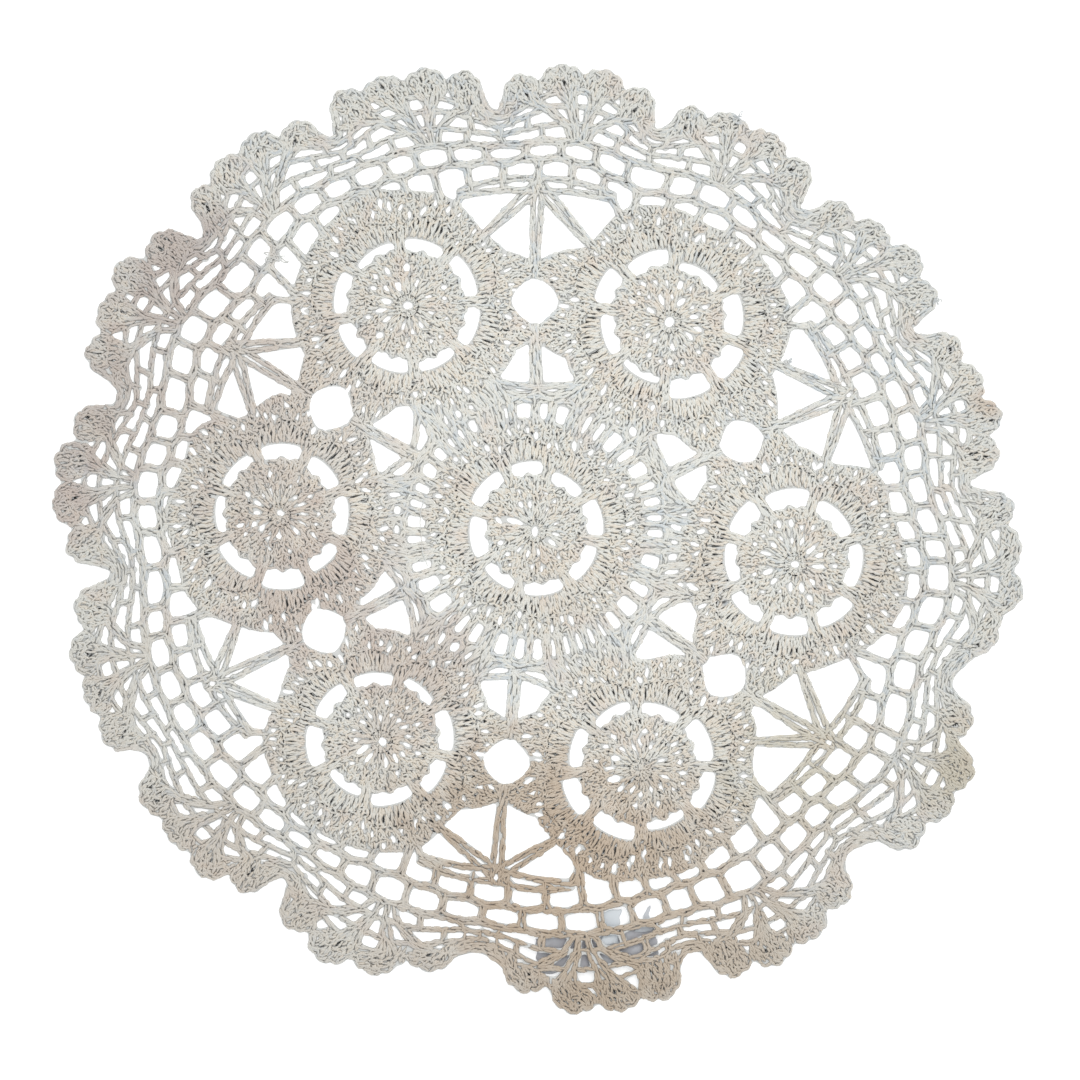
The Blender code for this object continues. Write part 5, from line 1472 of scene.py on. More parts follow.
@dataclass
class RoundMotif:
    """One round motif, worked from its middle: ring, two rounds, petals, bars, band and rim."""

    row: MotifRow
    seed: int
    joins: list = field(default_factory=list)       # angle and distance of each join
    join_pull: tuple = (2.0, 0.75, 9.0)     # the rim goes so far beyond; its slope and roundness
    ring: float = 3.9                       # radius of the ring
    first: float = 10.4                     # and of the first round
    hem: float = 0.8                        # reach of the chain along its edges
    edge_turn: float = 76.0                 # how far the yarn turns along them
    link: float = 3.4                       # length of a chain's two links
    window_low: tuple = (0.5, 1.3)          # windows end so far under their tops, more at the bars
    bar_ends: tuple = (1.0, 6.0)            # bars reach on so far into the band and the petals
    petal: tuple = (0.45, 2.0, 0.55)        # petals: rise, fall to the bars, height of three bumps
    arch: tuple = (1.2, 5.4, 2.4)           # stitches over a window: foot, rise, roundness
    slot_grow: tuple = (0.28, 0.24)         # how much the yarn takes of a slot's half sizes
    outer_gaps: int = 54                    # gaps opened in the outer round
    ring_seams: int = 17                    # slits round the ring, at the radius
    seam_r: float = 3.75
    raised: float = 0.82                    # height of the painted shade over slits that cross the yarn
    comb: float = 1.6                       # step between the slits combed outside the windows
    loose: float = 2.35                     # and between loose ones

    def __post_init__(self) -> None:
        """Set the tables up as arrays."""
        self.centre = np.array([self.row.x, self.row.y])
        self.ring_shift = np.array(RING_SHIFT[self.row.name])
        self.bars = np.array(self.row.bars, float)
        after = np.append(self.bars[1:], self.bars[0] + 360.0)
        self.middles = (self.bars + after) / 2
        self.spans = after - self.bars
        self.tops = np.array(self.row.tops)
        self.petals = np.array(self.row.petals)
        self.name = f"motif_{self.row.name}"

    def polar(self, p: Array) -> tuple[Array, Array]:
        """Angle and distance of plan points from the motif's middle."""
        d = np.asarray(p) - self.centre
        return np.degrees(np.arctan2(d[..., 1], d[..., 0])), np.hypot(d[..., 0], d[..., 1])

    def spot(self, angle: Array, r: Array) -> Array:
        """Plan points at motif angles and radii."""
        return self.centre + heading(np.radians(angle)) * np.asarray(r)[..., None]

    def rim(self, angle: Array) -> Array:
        """Rim radius, drawn out in a hyperbola where the motif reaches for its neighbours.

        Args:
            angle: Motif angles.

        Returns:
            Radii, mm.
        """
        if not self.row.rims:
            return smooth_round(angle, self.middles, self.tops) + BAND
        n = len(self.row.rims)
        r = smooth_round(angle, np.arange(n) * 360.0 / n - 180.0, self.row.rims)
        beyond, slope, roundness = self.join_pull
        for join_angle, distance in self.joins:
            away = turn(np.asarray(angle, float), join_angle)
            r = np.maximum(r, distance + beyond - slope * np.sqrt(away**2 + roundness))
        return r

    def on_rim(self, angle: float, inwards: float = 0.0) -> Array:
        """Plan point on the rim."""
        return self.spot(angle, self.rim(angle) - inwards)

    def cell(self, angle: Array) -> tuple[Array, Array]:
        """Window number and place in it, from -1 at one bar to 1 at the next.

        Args:
            angle: Motif angles.

        Returns:
            Numbers and places.
        """
        angle = (np.asarray(angle, float) + 180.0) % 360.0 - 180.0
        k = (np.searchsorted(self.bars, angle, side="right") - 1) % len(self.bars)
        start = np.where(angle < self.bars[0], self.bars[-1] - 360.0, self.bars[k])
        return k, (angle - start) / self.spans[k] * 2 - 1

    def petal_edge(self, angle: Array) -> Array:
        """Outer radius of the petals: lower at the bars, with three bumps to a petal."""
        k, u = self.cell(angle)
        rise, fall, bump = self.petal
        return self.petals[k] + rise - fall * np.abs(u)**3 + bump * np.cos(3 * np.pi * np.abs(u))

    def window_edge(self, angle: Array) -> Array:
        """Radius where the windows end and the band begins."""
        k, u = self.cell(angle)
        return self.tops[k] - self.window_low[0] - self.window_low[1] * u**4

    def band_edge(self, angle: Array) -> Array:
        """Radius halfway from the windows' tops to the rim."""
        low = smooth_round(angle, self.middles, self.tops)
        return low + (self.rim(angle) - low) * 0.50

    def scallop(self, angle: Array) -> Array:
        """Radius of the arches of stitches over the windows, springing from the bars."""
        k, u = self.cell(angle)
        return self.tops[k] + self.arch[0] + self.arch[1] * (1 - np.abs(u)**self.arch[2])

    def level(self, points: Array) -> tuple[Array, Array]:
        """Signed distance of the motif's solid work, and its zones.

        The body lies inside the petals' edge, or between the windows and the rim; a bar's
        distance is its half width taken from the arc to its middle line.

        Args:
            points: Plan points.

        Returns:
            Distances and the zones' numbers.
        """
        angle, r = self.polar(points)
        k, u = self.cell(angle)
        petal, top, rim = self.petal_edge(angle), self.window_edge(angle), self.rim(angle)
        body = np.minimum(r - petal, np.maximum(top - r, r - rim))
        bar = np.radians((1 - np.abs(u)) * self.spans[k] / 2) * r - BAR_HALF
        over, under = self.bar_ends
        bar = np.maximum(bar, np.maximum(r - top - over, petal - under - r))
        melt = np.maximum(FILLET - np.abs(body - bar), 0.0) / FILLET
        from_ring = np.linalg.norm(points - self.centre - self.ring_shift, axis=-1)
        bounds = (from_ring < self.ring, r < self.first, r < petal + 0.3, r < top - 0.3,
                  r < self.scallop(angle))
        zones = (Zone.RING, Zone.FIRST, Zone.DISC, Zone.BAR, Zone.BAND)
        zone = np.select(bounds, [zone.value for zone in zones], Zone.OUTER.value)
        low, high = (np.abs(r - line + 0.5) < self.hem for line in (petal, rim))
        zone = np.where((low | high) & (bar > 0.5), Zone.HEM.value, zone)
        return np.minimum(body, bar) - melt**2 * FILLET / 4, zone

    def lay_angle(self, points: Array) -> Array:
        """Angle of the yarn: straight out from the ring, but for the tops of the rounds.

        There it slants by turns to either side, as the links of a chain do, and along the
        rim and the petals' edge it runs nearly level.

        Args:
            points: Plan points.

        Returns:
            Angles, radians.
        """
        angle, r = self.polar(points)
        hub = self.centre + self.ring_shift * np.clip(1.4 - r / 12.0, 0, 1)[..., None]
        out = np.arctan2(points[..., 1] - hub[..., 1], points[..., 0] - hub[..., 0])
        petal, edge, rim = self.petal_edge(angle), self.band_edge(angle), self.rim(angle)
        for top, reach, slant in ((9.9, 0.8, 48.0), (13.6, 0.7, 44.0),
                                  (self.scallop(angle) + 0.8, 0.9, 58.0),
                                  ((edge + rim) / 2, 0.7, 40.0)):
            links = np.rint(np.mean(top) * 2 * math.pi / self.link)
            side = np.where(np.sin(np.radians(angle) * links) > 0, 1.0, -1.0)
            out = out + np.radians(slant) * side * (np.abs(r - top) < reach)
        for line in (petal, rim):
            out = out + np.radians(self.edge_turn) * ((r < line + 0.2) & (r > line - self.hem))
        return out

    def small_gaps(self, drawing: Drawing) -> None:
        """Open the hole of the ring, the slots of the first rounds and gaps in the outer round.

        Args:
            drawing: The plan.
        """
        angle, r, long, wide, axis = np.array(SMALL_GAPS[self.row.name], float).T
        drawing.cut_slots(self.spot(angle, r), axis, long / 2 + self.slot_grow[0],
                          wide / 2 + self.slot_grow[1])
        random = np.random.default_rng(self.seed + 90)
        n = self.outer_gaps
        angle = (np.arange(n) + random.uniform(-0.4, 0.4, n)) * 360.0 / n
        edge, rim = self.scallop(angle) + 0.9, self.rim(angle)
        r = edge + (rim - edge) * random.uniform(0.12, 0.74, n)
        drawing.cut_slots(self.spot(angle, r), angle + random.normal(0, 16.0, n),
                          random.uniform(0.8, 2.0, n), random.uniform(0.40, 0.78, n))

    def part_stitches(self, drawing: Drawing) -> None:
        """Part the yarn in short dark slits: round the ring, over the windows, and loose.

        Args:
            drawing: The plan.
        """
        random = np.random.default_rng(self.seed + 70)
        n = self.ring_seams
        a = (np.arange(n) + random.uniform(-0.2, 0.2, n)) * 2 * math.pi / n
        half_arc = random.uniform(0.08, 0.15, n)
        ends = [self.centre + self.ring_shift + self.seam_r * heading(a + s * half_arc)
                for s in (-1, 1)]
        drawing.part_yarn(*ends, random.uniform(0.02, 0.05, n), self.raised)
        self.comb_band(drawing, random)
        self.part_loose(drawing, random)

    def comb_band(self, drawing: Drawing, random: np.random.Generator) -> None:
        """Slits between the stitches over the windows, waving in width, and along their tops.

        Args:
            drawing: The plan.
            random: The motif's random numbers.
        """
        counts = (np.radians(self.spans) * (self.tops + 5.0) / self.comb).astype(int)
        angle = np.concatenate([b + s * (np.arange(n) + 0.5) / n
                                for b, s, n in zip(self.bars, self.spans, counts)])
        n = len(angle)
        wave = 0.5 + 0.5 * np.sin(np.radians(angle) * 3 + random.uniform(0, 6))
        wave = wave + random.normal(0, 0.2, n)
        angle = angle + random.normal(0, 0.3, n)
        top = self.scallop(angle) - random.uniform(0.1, 0.9, n)
        low = np.maximum(top - random.uniform(1.2, 4.4, n), self.window_edge(angle) + 0.9)
        lean = random.normal(0, 1.0, n)
        drawing.part_yarn(self.spot(angle, low), self.spot(angle + lean, top),
                          0.02 + 0.13 * np.clip(wave + random.normal(0, 0.2, n), 0, 1.2))
        beyond = self.scallop(angle) + 0.5 + random.normal(0, 0.25, n)
        step = np.degrees(random.uniform(0.25, 0.6, n) / beyond)
        end = self.spot(angle + step, beyond + random.normal(0, 0.3, n))
        drawing.part_yarn(self.spot(angle - step, beyond), end, random.uniform(0.02, 0.06, n),
                          self.raised)

    def part_loose(self, drawing: Drawing, random: np.random.Generator) -> None:
        """Loose slits over the disc and the outer round, and fewer between.

        Args:
            drawing: The plan.
            random: The motif's random numbers.
        """
        points = self.centre + scatter(42.0, self.loose, random)
        angle, r = self.polar(points)
        n = len(points)
        keep = ((random.uniform(0, 1, n) < 0.78) & (r > self.ring)
                & (r < self.rim(angle) - self.hem)
                & ((r < self.window_edge(angle) - 1.0) | (r > self.band_edge(angle) - 1.5)
                   | (random.uniform(0, 1, n) < 0.35)))
        points, angle, n = points[keep], angle[keep], int(keep.sum())
        reach = heading(np.radians(angle + random.normal(0, 26.0, n)))
        reach = reach * random.uniform(0.15, 0.85, n)[:, None]
        drawing.part_yarn(points - reach, points + reach, random.uniform(0.03, 0.18, n))


@dataclass
class JoiningWeb:
    """The net round the middle motif with the six stars, and the six spiders outside."""

    drawing: Drawing
    motifs: dict
    star_turn: float = 0.7          # degrees from a diamond gap to its star's hub
    net_r: float = 43.2             # radius of the net round the middle motif at its posts
    net_high: float = 44.0          # and of its chain between them
    net_reach: float = 8.5          # posts join the chain to motifs no farther than this
    unpierced: tuple = ("top_left", "left")     # hubs with no hole have these on their left

    @staticmethod
    def joins(s: SectorRow) -> tuple[Array, Array]:
        """Plan points where two motifs meet, under and over their diamond gap."""
        reach = s.gap_high + 4.0
        return at(s.gap_b, s.gap_r - reach), at(s.gap_b, s.gap_r + reach)

    def note_joins(self) -> None:
        """Tell each motif where it reaches for its neighbours."""
        for s in SECTORS:
            for name in (s.left, s.right):
                for point in self.joins(s):
                    angle, distance = self.motifs[name].polar(point)
                    self.motifs[name].joins.append((float(angle), float(distance)))

    def star(self, s: SectorRow) -> None:
        """Inner join: a doubled arm, two side chains and the stitches round its hub.

        Args:
            s: Its sector.
        """
        post = partial(self.drawing.add, half=CHAIN, zone=Zone.POST, owner="stars")
        chain = partial(self.drawing.add, half=CHAIN, zone=Zone.CORD, owner="stars")
        inner, _ = self.joins(s)
        hub_b = s.gap_b + self.star_turn
        across = at(s.gap_b + 90.0, 1.0)
        for side in (-1.1, 1.1):
            foot = at(hub_b + side * 1.3, 48.0)
            top = inner + across * side * 0.7
            post(bow(foot, (foot + top) / 2, top))
        for b, r in ((s.star_left_b, s.star_left_r), (s.star_right_b, s.star_right_r)):
            d = turn(b, s.gap_b)
            chain(bow(at(hub_b, 47.8), at(s.gap_b + d * 0.5, s.star_chain_r - 1.4), at(b, r - 1.2)))
            chain(bow(at(hub_b, 45.4), at(s.gap_b + d * 0.42, 45.2), at(s.gap_b + d * 0.78, 47.0),
                      at(b, r - 2.0)))
            post([at(hub_b, 46.6), at(s.gap_b + d * 0.3, 43.8)])
            for k in (-2.4, 1.8):
                post([at(b + k * 0.3, r - 0.5), at(b + k, 43.6)])
        for reach in (-1, 1):
            post([at(s.gap_b, s.gap_r + reach * (s.gap_high + beyond)) for beyond in (1.8, 4.8)],
                 half=JOIN_HALF)

    def spider(self, s: SectorRow) -> None:
        """Outer web: hub, doubled spokes to the join and both motifs, and level chains.

        Args:
            s: Its sector.
        """
        _, outer = self.joins(s)
        hub = at(s.hub_b, s.hub_r - 0.8)
        self.drawing.add([at(s.hub_b, s.hub_r - 1.4), at(s.hub_b, s.hub_r + 0.6)], HUB_HALF,
                    Zone.SHELL, "spiders", 0.8)
        self.spoke(hub, outer)
        for name, lean in ((s.left, s.lean_left), (s.right, s.lean_right)):
            angle, _ = self.motifs[name].polar(hub)
            self.spoke(hub, self.motifs[name].on_rim(angle + lean, 0.5))
        for name, b, r in ((s.left, s.end_left_b, s.end_left_r),
                           (s.right, s.end_right_b, s.end_right_r)):
            d, end, motif = turn(b, s.hub_b), at(b, r), self.motifs[name]
            middle = at(s.hub_b + d / 2, (s.hub_r - 2.2 + r) / 2)
            t = np.linspace(0, 1, 13)
            for line in (bow(at(s.hub_b, s.hub_r - 2.6), middle, end),
                         at(s.hub_b + d * t, upper_chain(s, r, t))):
                self.drawing.add(line, CHAIN, Zone.CORD, "spiders", 0.7)
            angle, distance = motif.polar(end)
            if distance > motif.rim(angle):
                self.drawing.add([end, motif.on_rim(angle, 1.0)], CHAIN, Zone.POST, "spiders")

    def spoke(self, start: Array, end: Array) -> None:
        """A spoke: two long stitches apart at the hub, together at the foot, dark between.

        Args:
            start: Plan point at the hub.
            end: And at the foot.
        """
        along = (end - start) / np.linalg.norm(end - start)
        across = np.array([-along[1], along[0]])
        for side in (-1, 1):
            line = bow(start + across * side * 1.5, (start + end) / 2 + across * side * 1.2,
                       end + across * side * 0.5)
            self.drawing.add(line, SPOKE, Zone.POST, "spiders", 0.4)
        place = np.array([[0.36], [0.56], [0.78]])
        reach = np.array([[0.07], [0.10], [0.06]])
        self.drawing.part_yarn(start + (end - start) * (place - reach),
                          start + (end - start) * (place + reach), np.array([0.05, 0.12, 0.08]))

    def pierce_hubs(self) -> None:
        """Open the hole in the four spiders' hubs that have one."""
        hubs = np.array([at(s.hub_b, s.hub_r) for s in SECTORS if s.left not in self.unpierced])
        size = np.full(len(hubs), HUB_HOLE)
        self.drawing.cut_slots(hubs, np.zeros(len(hubs)), size, size)

    def inner_net(self) -> None:
        """Paired posts round the middle motif, the chain on them and posts out to the motifs."""
        middle, *others = self.motifs.values()
        ring = []
        for wall, after in zip(INNER_WALLS, following(INNER_WALLS)):
            foot = float(middle.rim(90.0 - wall)) - 0.3
            self.drawing.add([at(wall - 0.5, foot), at(wall, self.net_r)], INNER_WALL, Zone.POST,
                        "inner_net")
            between = (wall + after) / 2
            ring += [(wall, self.net_r - 0.2), (between, self.net_high)]
            for motif in others:
                angle, distance = motif.polar(at(between, self.net_high))
                if distance - motif.rim(angle) < self.net_reach:
                    self.drawing.add([at(between, self.net_high), motif.on_rim(angle, 0.8)], 1.5,
                                Zone.POST, "inner_net")
        self.drawing.add(ring_line(ring), INNER_CORD, Zone.CORD, "inner_net")

    def draw(self) -> None:
        """Draw the web."""
        for s in SECTORS:
            self.star(s)
            self.spider(s)
        self.inner_net()


def upper_chain(s: SectorRow, end_r: float, t: Array) -> Array:
    """Radius of a spider's upper chain from the hub (t = 0) to its end (t = 1)."""
    return s.hub_r + 1.4 + (end_r + 1.7 - s.hub_r - 1.4) * t + 3.0 * t * (1 - t)


@dataclass
class OuterNet:
    """Two rings of open net between the motifs and the fans."""

    drawing: Drawing
    motifs: dict
    shift: float = 0.15         # degrees that a post's foot lies beside its head
    shortest: float = 0.3       # no post shorter than this to the motifs
    dotted: float = 0.7         # share of the joints that have a dark dash
    seed: int = 500

    def work_edge(self, b: float) -> float:
        """Outermost radius of the motifs and spider chains along a bearing.

        Args:
            b: The bearing.

        Returns:
            The radius, mm.
        """
        radii = np.linspace(90, 132, 169)
        ray = at(b, radii)
        best = 0.0
        for motif in list(self.motifs.values())[1:]:
            angle, r = motif.polar(ray)
            inside = r < motif.rim(angle)
            if inside.any():
                best = max(best, float(radii[inside].max()))
        for s in SECTORS:
            d = turn(b, s.hub_b)
            end_b, end_r = (s.end_left_b, s.end_left_r) if d < 0 else (s.end_right_b, s.end_right_r)
            t = d / turn(end_b, s.hub_b)
            if 0 <= t < 1:
                best = max(best, float(upper_chain(s, end_r, t)))
        return best

    def dot_joints(self, joints: list) -> None:
        """Part the yarn in a short dark dash at most of the net's joints.

        Args:
            joints: Bearings and radii of the joints.
        """
        random = np.random.default_rng(self.seed)
        b, r = np.array(joints, float).T
        keep = random.uniform(0, 1, len(b)) < self.dotted
        n = int(keep.sum())
        middle = at(b[keep], r[keep]) + random.normal(0, 0.5, (n, 2))
        reach = heading(random.uniform(0, math.pi, n)) * random.uniform(0.2, 0.6, n)[:, None]
        self.drawing.part_yarn(middle - reach, middle + reach, random.uniform(0.08, 0.24, n))

    def draw(self) -> None:
        """Draw the net: posts from the motifs, a chain, posts and a chain again."""
        post = partial(self.drawing.add, half=POST, zone=Zone.POST, owner="outer_net")
        first, second = [], []
        for wall, after in zip(NET_WALLS, following(NET_WALLS)):
            foot_b, high = wall + self.shift, (wall + after) / 2
            low = high - 0.6
            inner, outer = float(net_radius(1, wall)), float(net_radius(2, wall))
            post([at(foot_b, inner + 0.4), at(wall, outer - 0.6)])
            edge, net = self.work_edge(low), float(net_radius(1, low))
            if net - 0.6 - edge > self.shortest:
                post([at(low, edge - 0.8), at(low, net - 0.6)])
            first += [(foot_b, inner + 0.8), (low, net - 0.9)]
            second += [(wall, outer - 0.7), (high, float(net_radius(2, high)) + 0.4)]
        self.dot_joints(first + second)
        for ring in (first, second):
            self.drawing.add(ring_line(ring, 9), NET_CORD, Zone.CORD, "outer_net")


@dataclass
class FanEdging:
    """Fifteen fans: three rows of one, two and three stitches to a column, and four shells."""

    drawing: Drawing
    row_high: tuple = (5.6, 11.7, 16.9)         # rows' heights over the net at a fan's middle
    row_low: tuple = (0.30, 0.57, 0.82)         # and at a valley, as shares of its height
    pulls: tuple = (1.0, 0.75, 0.5, 0.5)        # how far each row keeps to the net's window
    opens: tuple = (0.034, 0.066, 0.142, 0.205)     # columns' spacing, shares of the fan's width
    splits: tuple = ((0,), (-0.026, 0.026), (-0.052, 0.0, 0.052))   # stitches of a column
    sides: tuple = (((-0.32, True), (0.32, True), (0.5, True)),
                    ((-0.42, True), (0.42, True), (-0.5, False)))   # places beside, and if stitched
    saddle: float = 4.2                         # depth of the dips between shells, under their tips
    shell_posts: int = 6
    shell_seams: int = 11
    seed: int = 600

    def __post_init__(self) -> None:
        """Start with empty rows and the edging's own random numbers."""
        self.rows = {1: [], 2: [], 3: []}
        self.random = np.random.default_rng(self.seed)
        self.gaps = [(a + b) / 2 for a, b in zip(NET_WALLS, following(NET_WALLS))]

    def row_radius(self, fan: FanRow, after: FanRow, row: int, b: float) -> float:
        """Radius of a fan's row: full height over its middle, squeezed at the valleys.

        Args:
            fan: The fan.
            after: The next one.
            row: 1, 2 or 3 from the inside, or 0 for the net.
            b: Bearing.

        Returns:
            The radius, mm.
        """
        if row == 0:
            return float(net_radius(2, b))
        width = turn(after.notch_b, fan.notch_b)
        away = turn(b, fan.notch_b + width / 2)
        u = abs(away) / (width / 2)
        swell = 0.5 + 0.5 * math.cos(math.pi * min(1.0, max(0.0, (u - 0.25) / 0.75)))
        near = fan if away < 0 else after
        valley = near.notch_r - 0.9 - near.net2_notch
        low, high = valley * self.row_low[row - 1], self.row_high[row - 1]
        return float(net_radius(2, b)) + low + (high - low) * swell

    def fan(self, fan: FanRow, after: FanRow) -> None:
        """Four columns of 1, 2 and 3 posts fanning out, and a shell on each column.

        Args:
            fan: The fan.
            after: The next one.
        """
        width = turn(after.notch_b, fan.notch_b)
        middle = fan.notch_b + width / 2
        seat = min(self.gaps, key=lambda g: abs(turn(g, middle)))
        shift = turn(seat, middle)
        spread = np.array([-1.5, -0.5, 0.5, 1.5])
        columns = [middle + shift * pull + spread * wide * width
                   for pull, wide in zip(self.pulls, self.opens)]
        for row, heads in enumerate(self.splits, 1):
            for low, high in zip(columns[row - 1], columns[row]):
                foot_r = self.row_radius(fan, after, row - 1, low)
                for k in heads:
                    self.drawing.add([at(low + k * 0.3 * width, foot_r),
                                 at(high + k * width, self.row_radius(fan, after, row, high))],
                                FAN_POST, Zone.POST, "fan_rows", FAN_FILLET)
            self.rows[row] += [(b, self.row_radius(fan, after, row, b)) for b in columns[row]]
        self.fan_sides(fan, after, seat)
        for j, root in enumerate(columns[3]):
            self.shell(fan, after, j, root)
        self.valley(fan, after)

    def fan_sides(self, fan: FanRow, after: FanRow, seat: float) -> None:
        """Single posts of the rows between a fan's columns and its valleys.

        Args:
            fan: The fan.
            after: The next one.
            seat: Bearing of the window under its columns.
        """
        post = partial(self.drawing.add, half=FAN_POST, zone=Zone.POST, owner="fan_rows",
                       melt=FAN_FILLET)
        width = turn(after.notch_b, fan.notch_b)
        middle = fan.notch_b + width / 2
        for gap in self.gaps:
            d = turn(gap, middle)
            if abs(d) < width / 2 and abs(turn(gap, seat)) > 0.5:
                head = middle + d * 1.06
                top = self.row_radius(fan, after, 1, head)
                post([at(middle + d, float(net_radius(2, gap))), at(head, top)])
                self.rows[1].append((head, top))
        for row, places in enumerate(self.sides, 2):
            for place, stitched in places:
                b = middle + place * width
                top = self.row_radius(fan, after, row, b)
                self.rows[row].append((b, top))
                if stitched:
                    post([at(b, self.row_radius(fan, after, row - 1, b)), at(b, top)])

    def shell(self, fan: FanRow, after: FanRow, j: int, root: float) -> None:
        """One shell: posts opening from a column's head to a scalloped edge with picots.

        Args:
            fan: The fan.
            after: The next one.
            j: The shell's number in the fan, from 0.
            root: Bearing of the column's head.
        """
        low, high = fan.bounds[j], fan.bounds[j + 1]
        before = fan.tips[j - 1] if j > 0 else fan.notch_r + 4.0
        beyond = fan.tips[j + 1] if j < 3 else after.notch_r + 4.0
        tip, middle, half = fan.tips[j], (low + high) / 2, (high - low) / 2 * 0.9
        base = at(root, self.row_radius(fan, after, 3, root) - 0.3)

        def rim(t: Array, bump: Array) -> Array:
            """Plan points of the shell's edge at places from -1 to 1."""
            saddle = np.where(t < 0, min(tip, before), min(tip, beyond)) - self.saddle
            rise = (tip - 1.7 - saddle) * (1 - np.abs(t)**2.6)
            return at(middle + t * half, saddle + rise + bump)

        t = np.linspace(-1, 1, 29)
        arch = rim(t, PICOT_RISE * np.cos(PICOTS * math.pi * t) * (np.abs(t) < 0.9))
        self.drawing.add(arch, 1.15, Zone.HEM, "fan_shells")
        self.drawing.add(base * 0.42 + arch * 0.58, 1.6, Zone.SHELL, "fan_shells")
        foot = self.row_radius(fan, after, 3, root) - 0.3
        for k in np.linspace(-0.92, 0.92, self.shell_posts):
            spread = k * 0.06 * turn(after.notch_b, fan.notch_b)
            self.drawing.add([at(root + spread, foot), rim(k, 0.0)], POST * 1.05, Zone.SHELL,
                        "fan_shells")
        random, n = self.random, self.shell_seams
        k = (np.arange(n) + random.uniform(0, 1, n)) / n * 1.6 - 0.8
        share = random.uniform(0.22, 0.82, (n, 1))
        reach = random.uniform(0.05, 0.14, (n, 1))
        way = rim(k, np.zeros(n)) - base
        self.drawing.part_yarn(base + way * (share - reach), base + way * (share + reach),
                          random.uniform(0.03, 0.21, n))

    def valley(self, fan: FanRow, after: FanRow) -> None:
        """The edge chain through the valley after a fan.

        Args:
            fan: The fan.
            after: The next one.
        """
        last = fan.notch_b + turn(fan.bounds[4], fan.notch_b) - 0.6
        foot = self.row_radius(fan, after, 3, last) + 2.5
        self.drawing.add(bow(at(last, foot), at(after.notch_b, after.notch_r - 0.9),
                        at(after.bounds[0] + 0.6, after.notch_r + 2.0)),
                    CHAIN, Zone.CORD, "fan_shells")

    def draw(self) -> None:
        """Draw the edging and the chains along its first three rows."""
        for fan, after in FAN_PAIRS:
            self.fan(fan, after)
        for ring in self.rows.values():
            self.drawing.add(ring_line(ring), CHAIN * 0.86, Zone.CORD, "fan_rows", FAN_FILLET)


@dataclass
class LaceWork:
    """The whole crochet: the drawing, its under-layer in painted shade and the yarn on it."""

    seed: int = 40
    motif_seed: int = 100

    def draw(self) -> Drawing:
        """Draw the motifs, cut their gaps, then draw every strand.

        Returns:
            The finished plan.
        """
        motifs = {row.name: RoundMotif(row, self.motif_seed + k) for k, row in enumerate(MOTIFS)}
        drawing = Drawing()
        web = JoiningWeb(drawing, motifs)
        web.note_joins()
        for motif in motifs.values():
            drawing.draw_motif(motif)
        for s in SECTORS:
            drawing.cut_diamond(s)
        for motif in motifs.values():
            motif.small_gaps(drawing)
            motif.part_stitches(drawing)
        for net in (web, OuterNet(drawing, motifs), FanEdging(drawing)):
            net.draw()
        drawing.draw_strands()
        web.pierce_hubs()
        drawing.settle()
        return drawing

    def build(self, cotton: bpy.types.Material) -> list:
        """Make and dress the back and the yarn of every piece.

        Args:
            cotton: The yarn's material.

        Returns:
            The pieces.
        """
        drawing = self.draw()
        # the under-layer, coloured in painted shade between the strands
        part = ShadedUnderlayer(drawing).mesh_part()
        back = mesh_object("lace_shaded_underlayer", [part], cotton, smooth=False)
        layer = YarnLayer(drawing, np.random.default_rng(self.seed))
        pieces = [mesh_object(name, [layer.strands(zone, seeds) for zone, seeds in beds], cotton)
                  for name, beds in layer.beds().items()]
        # dark strands of painted shade along the slits
        pieces.append(mesh_object("slit_painted_shade", layer.slit_shade_strands(), cotton))
        for piece in [back] + pieces:
            dress(piece, "lace")
        return [back] + pieces


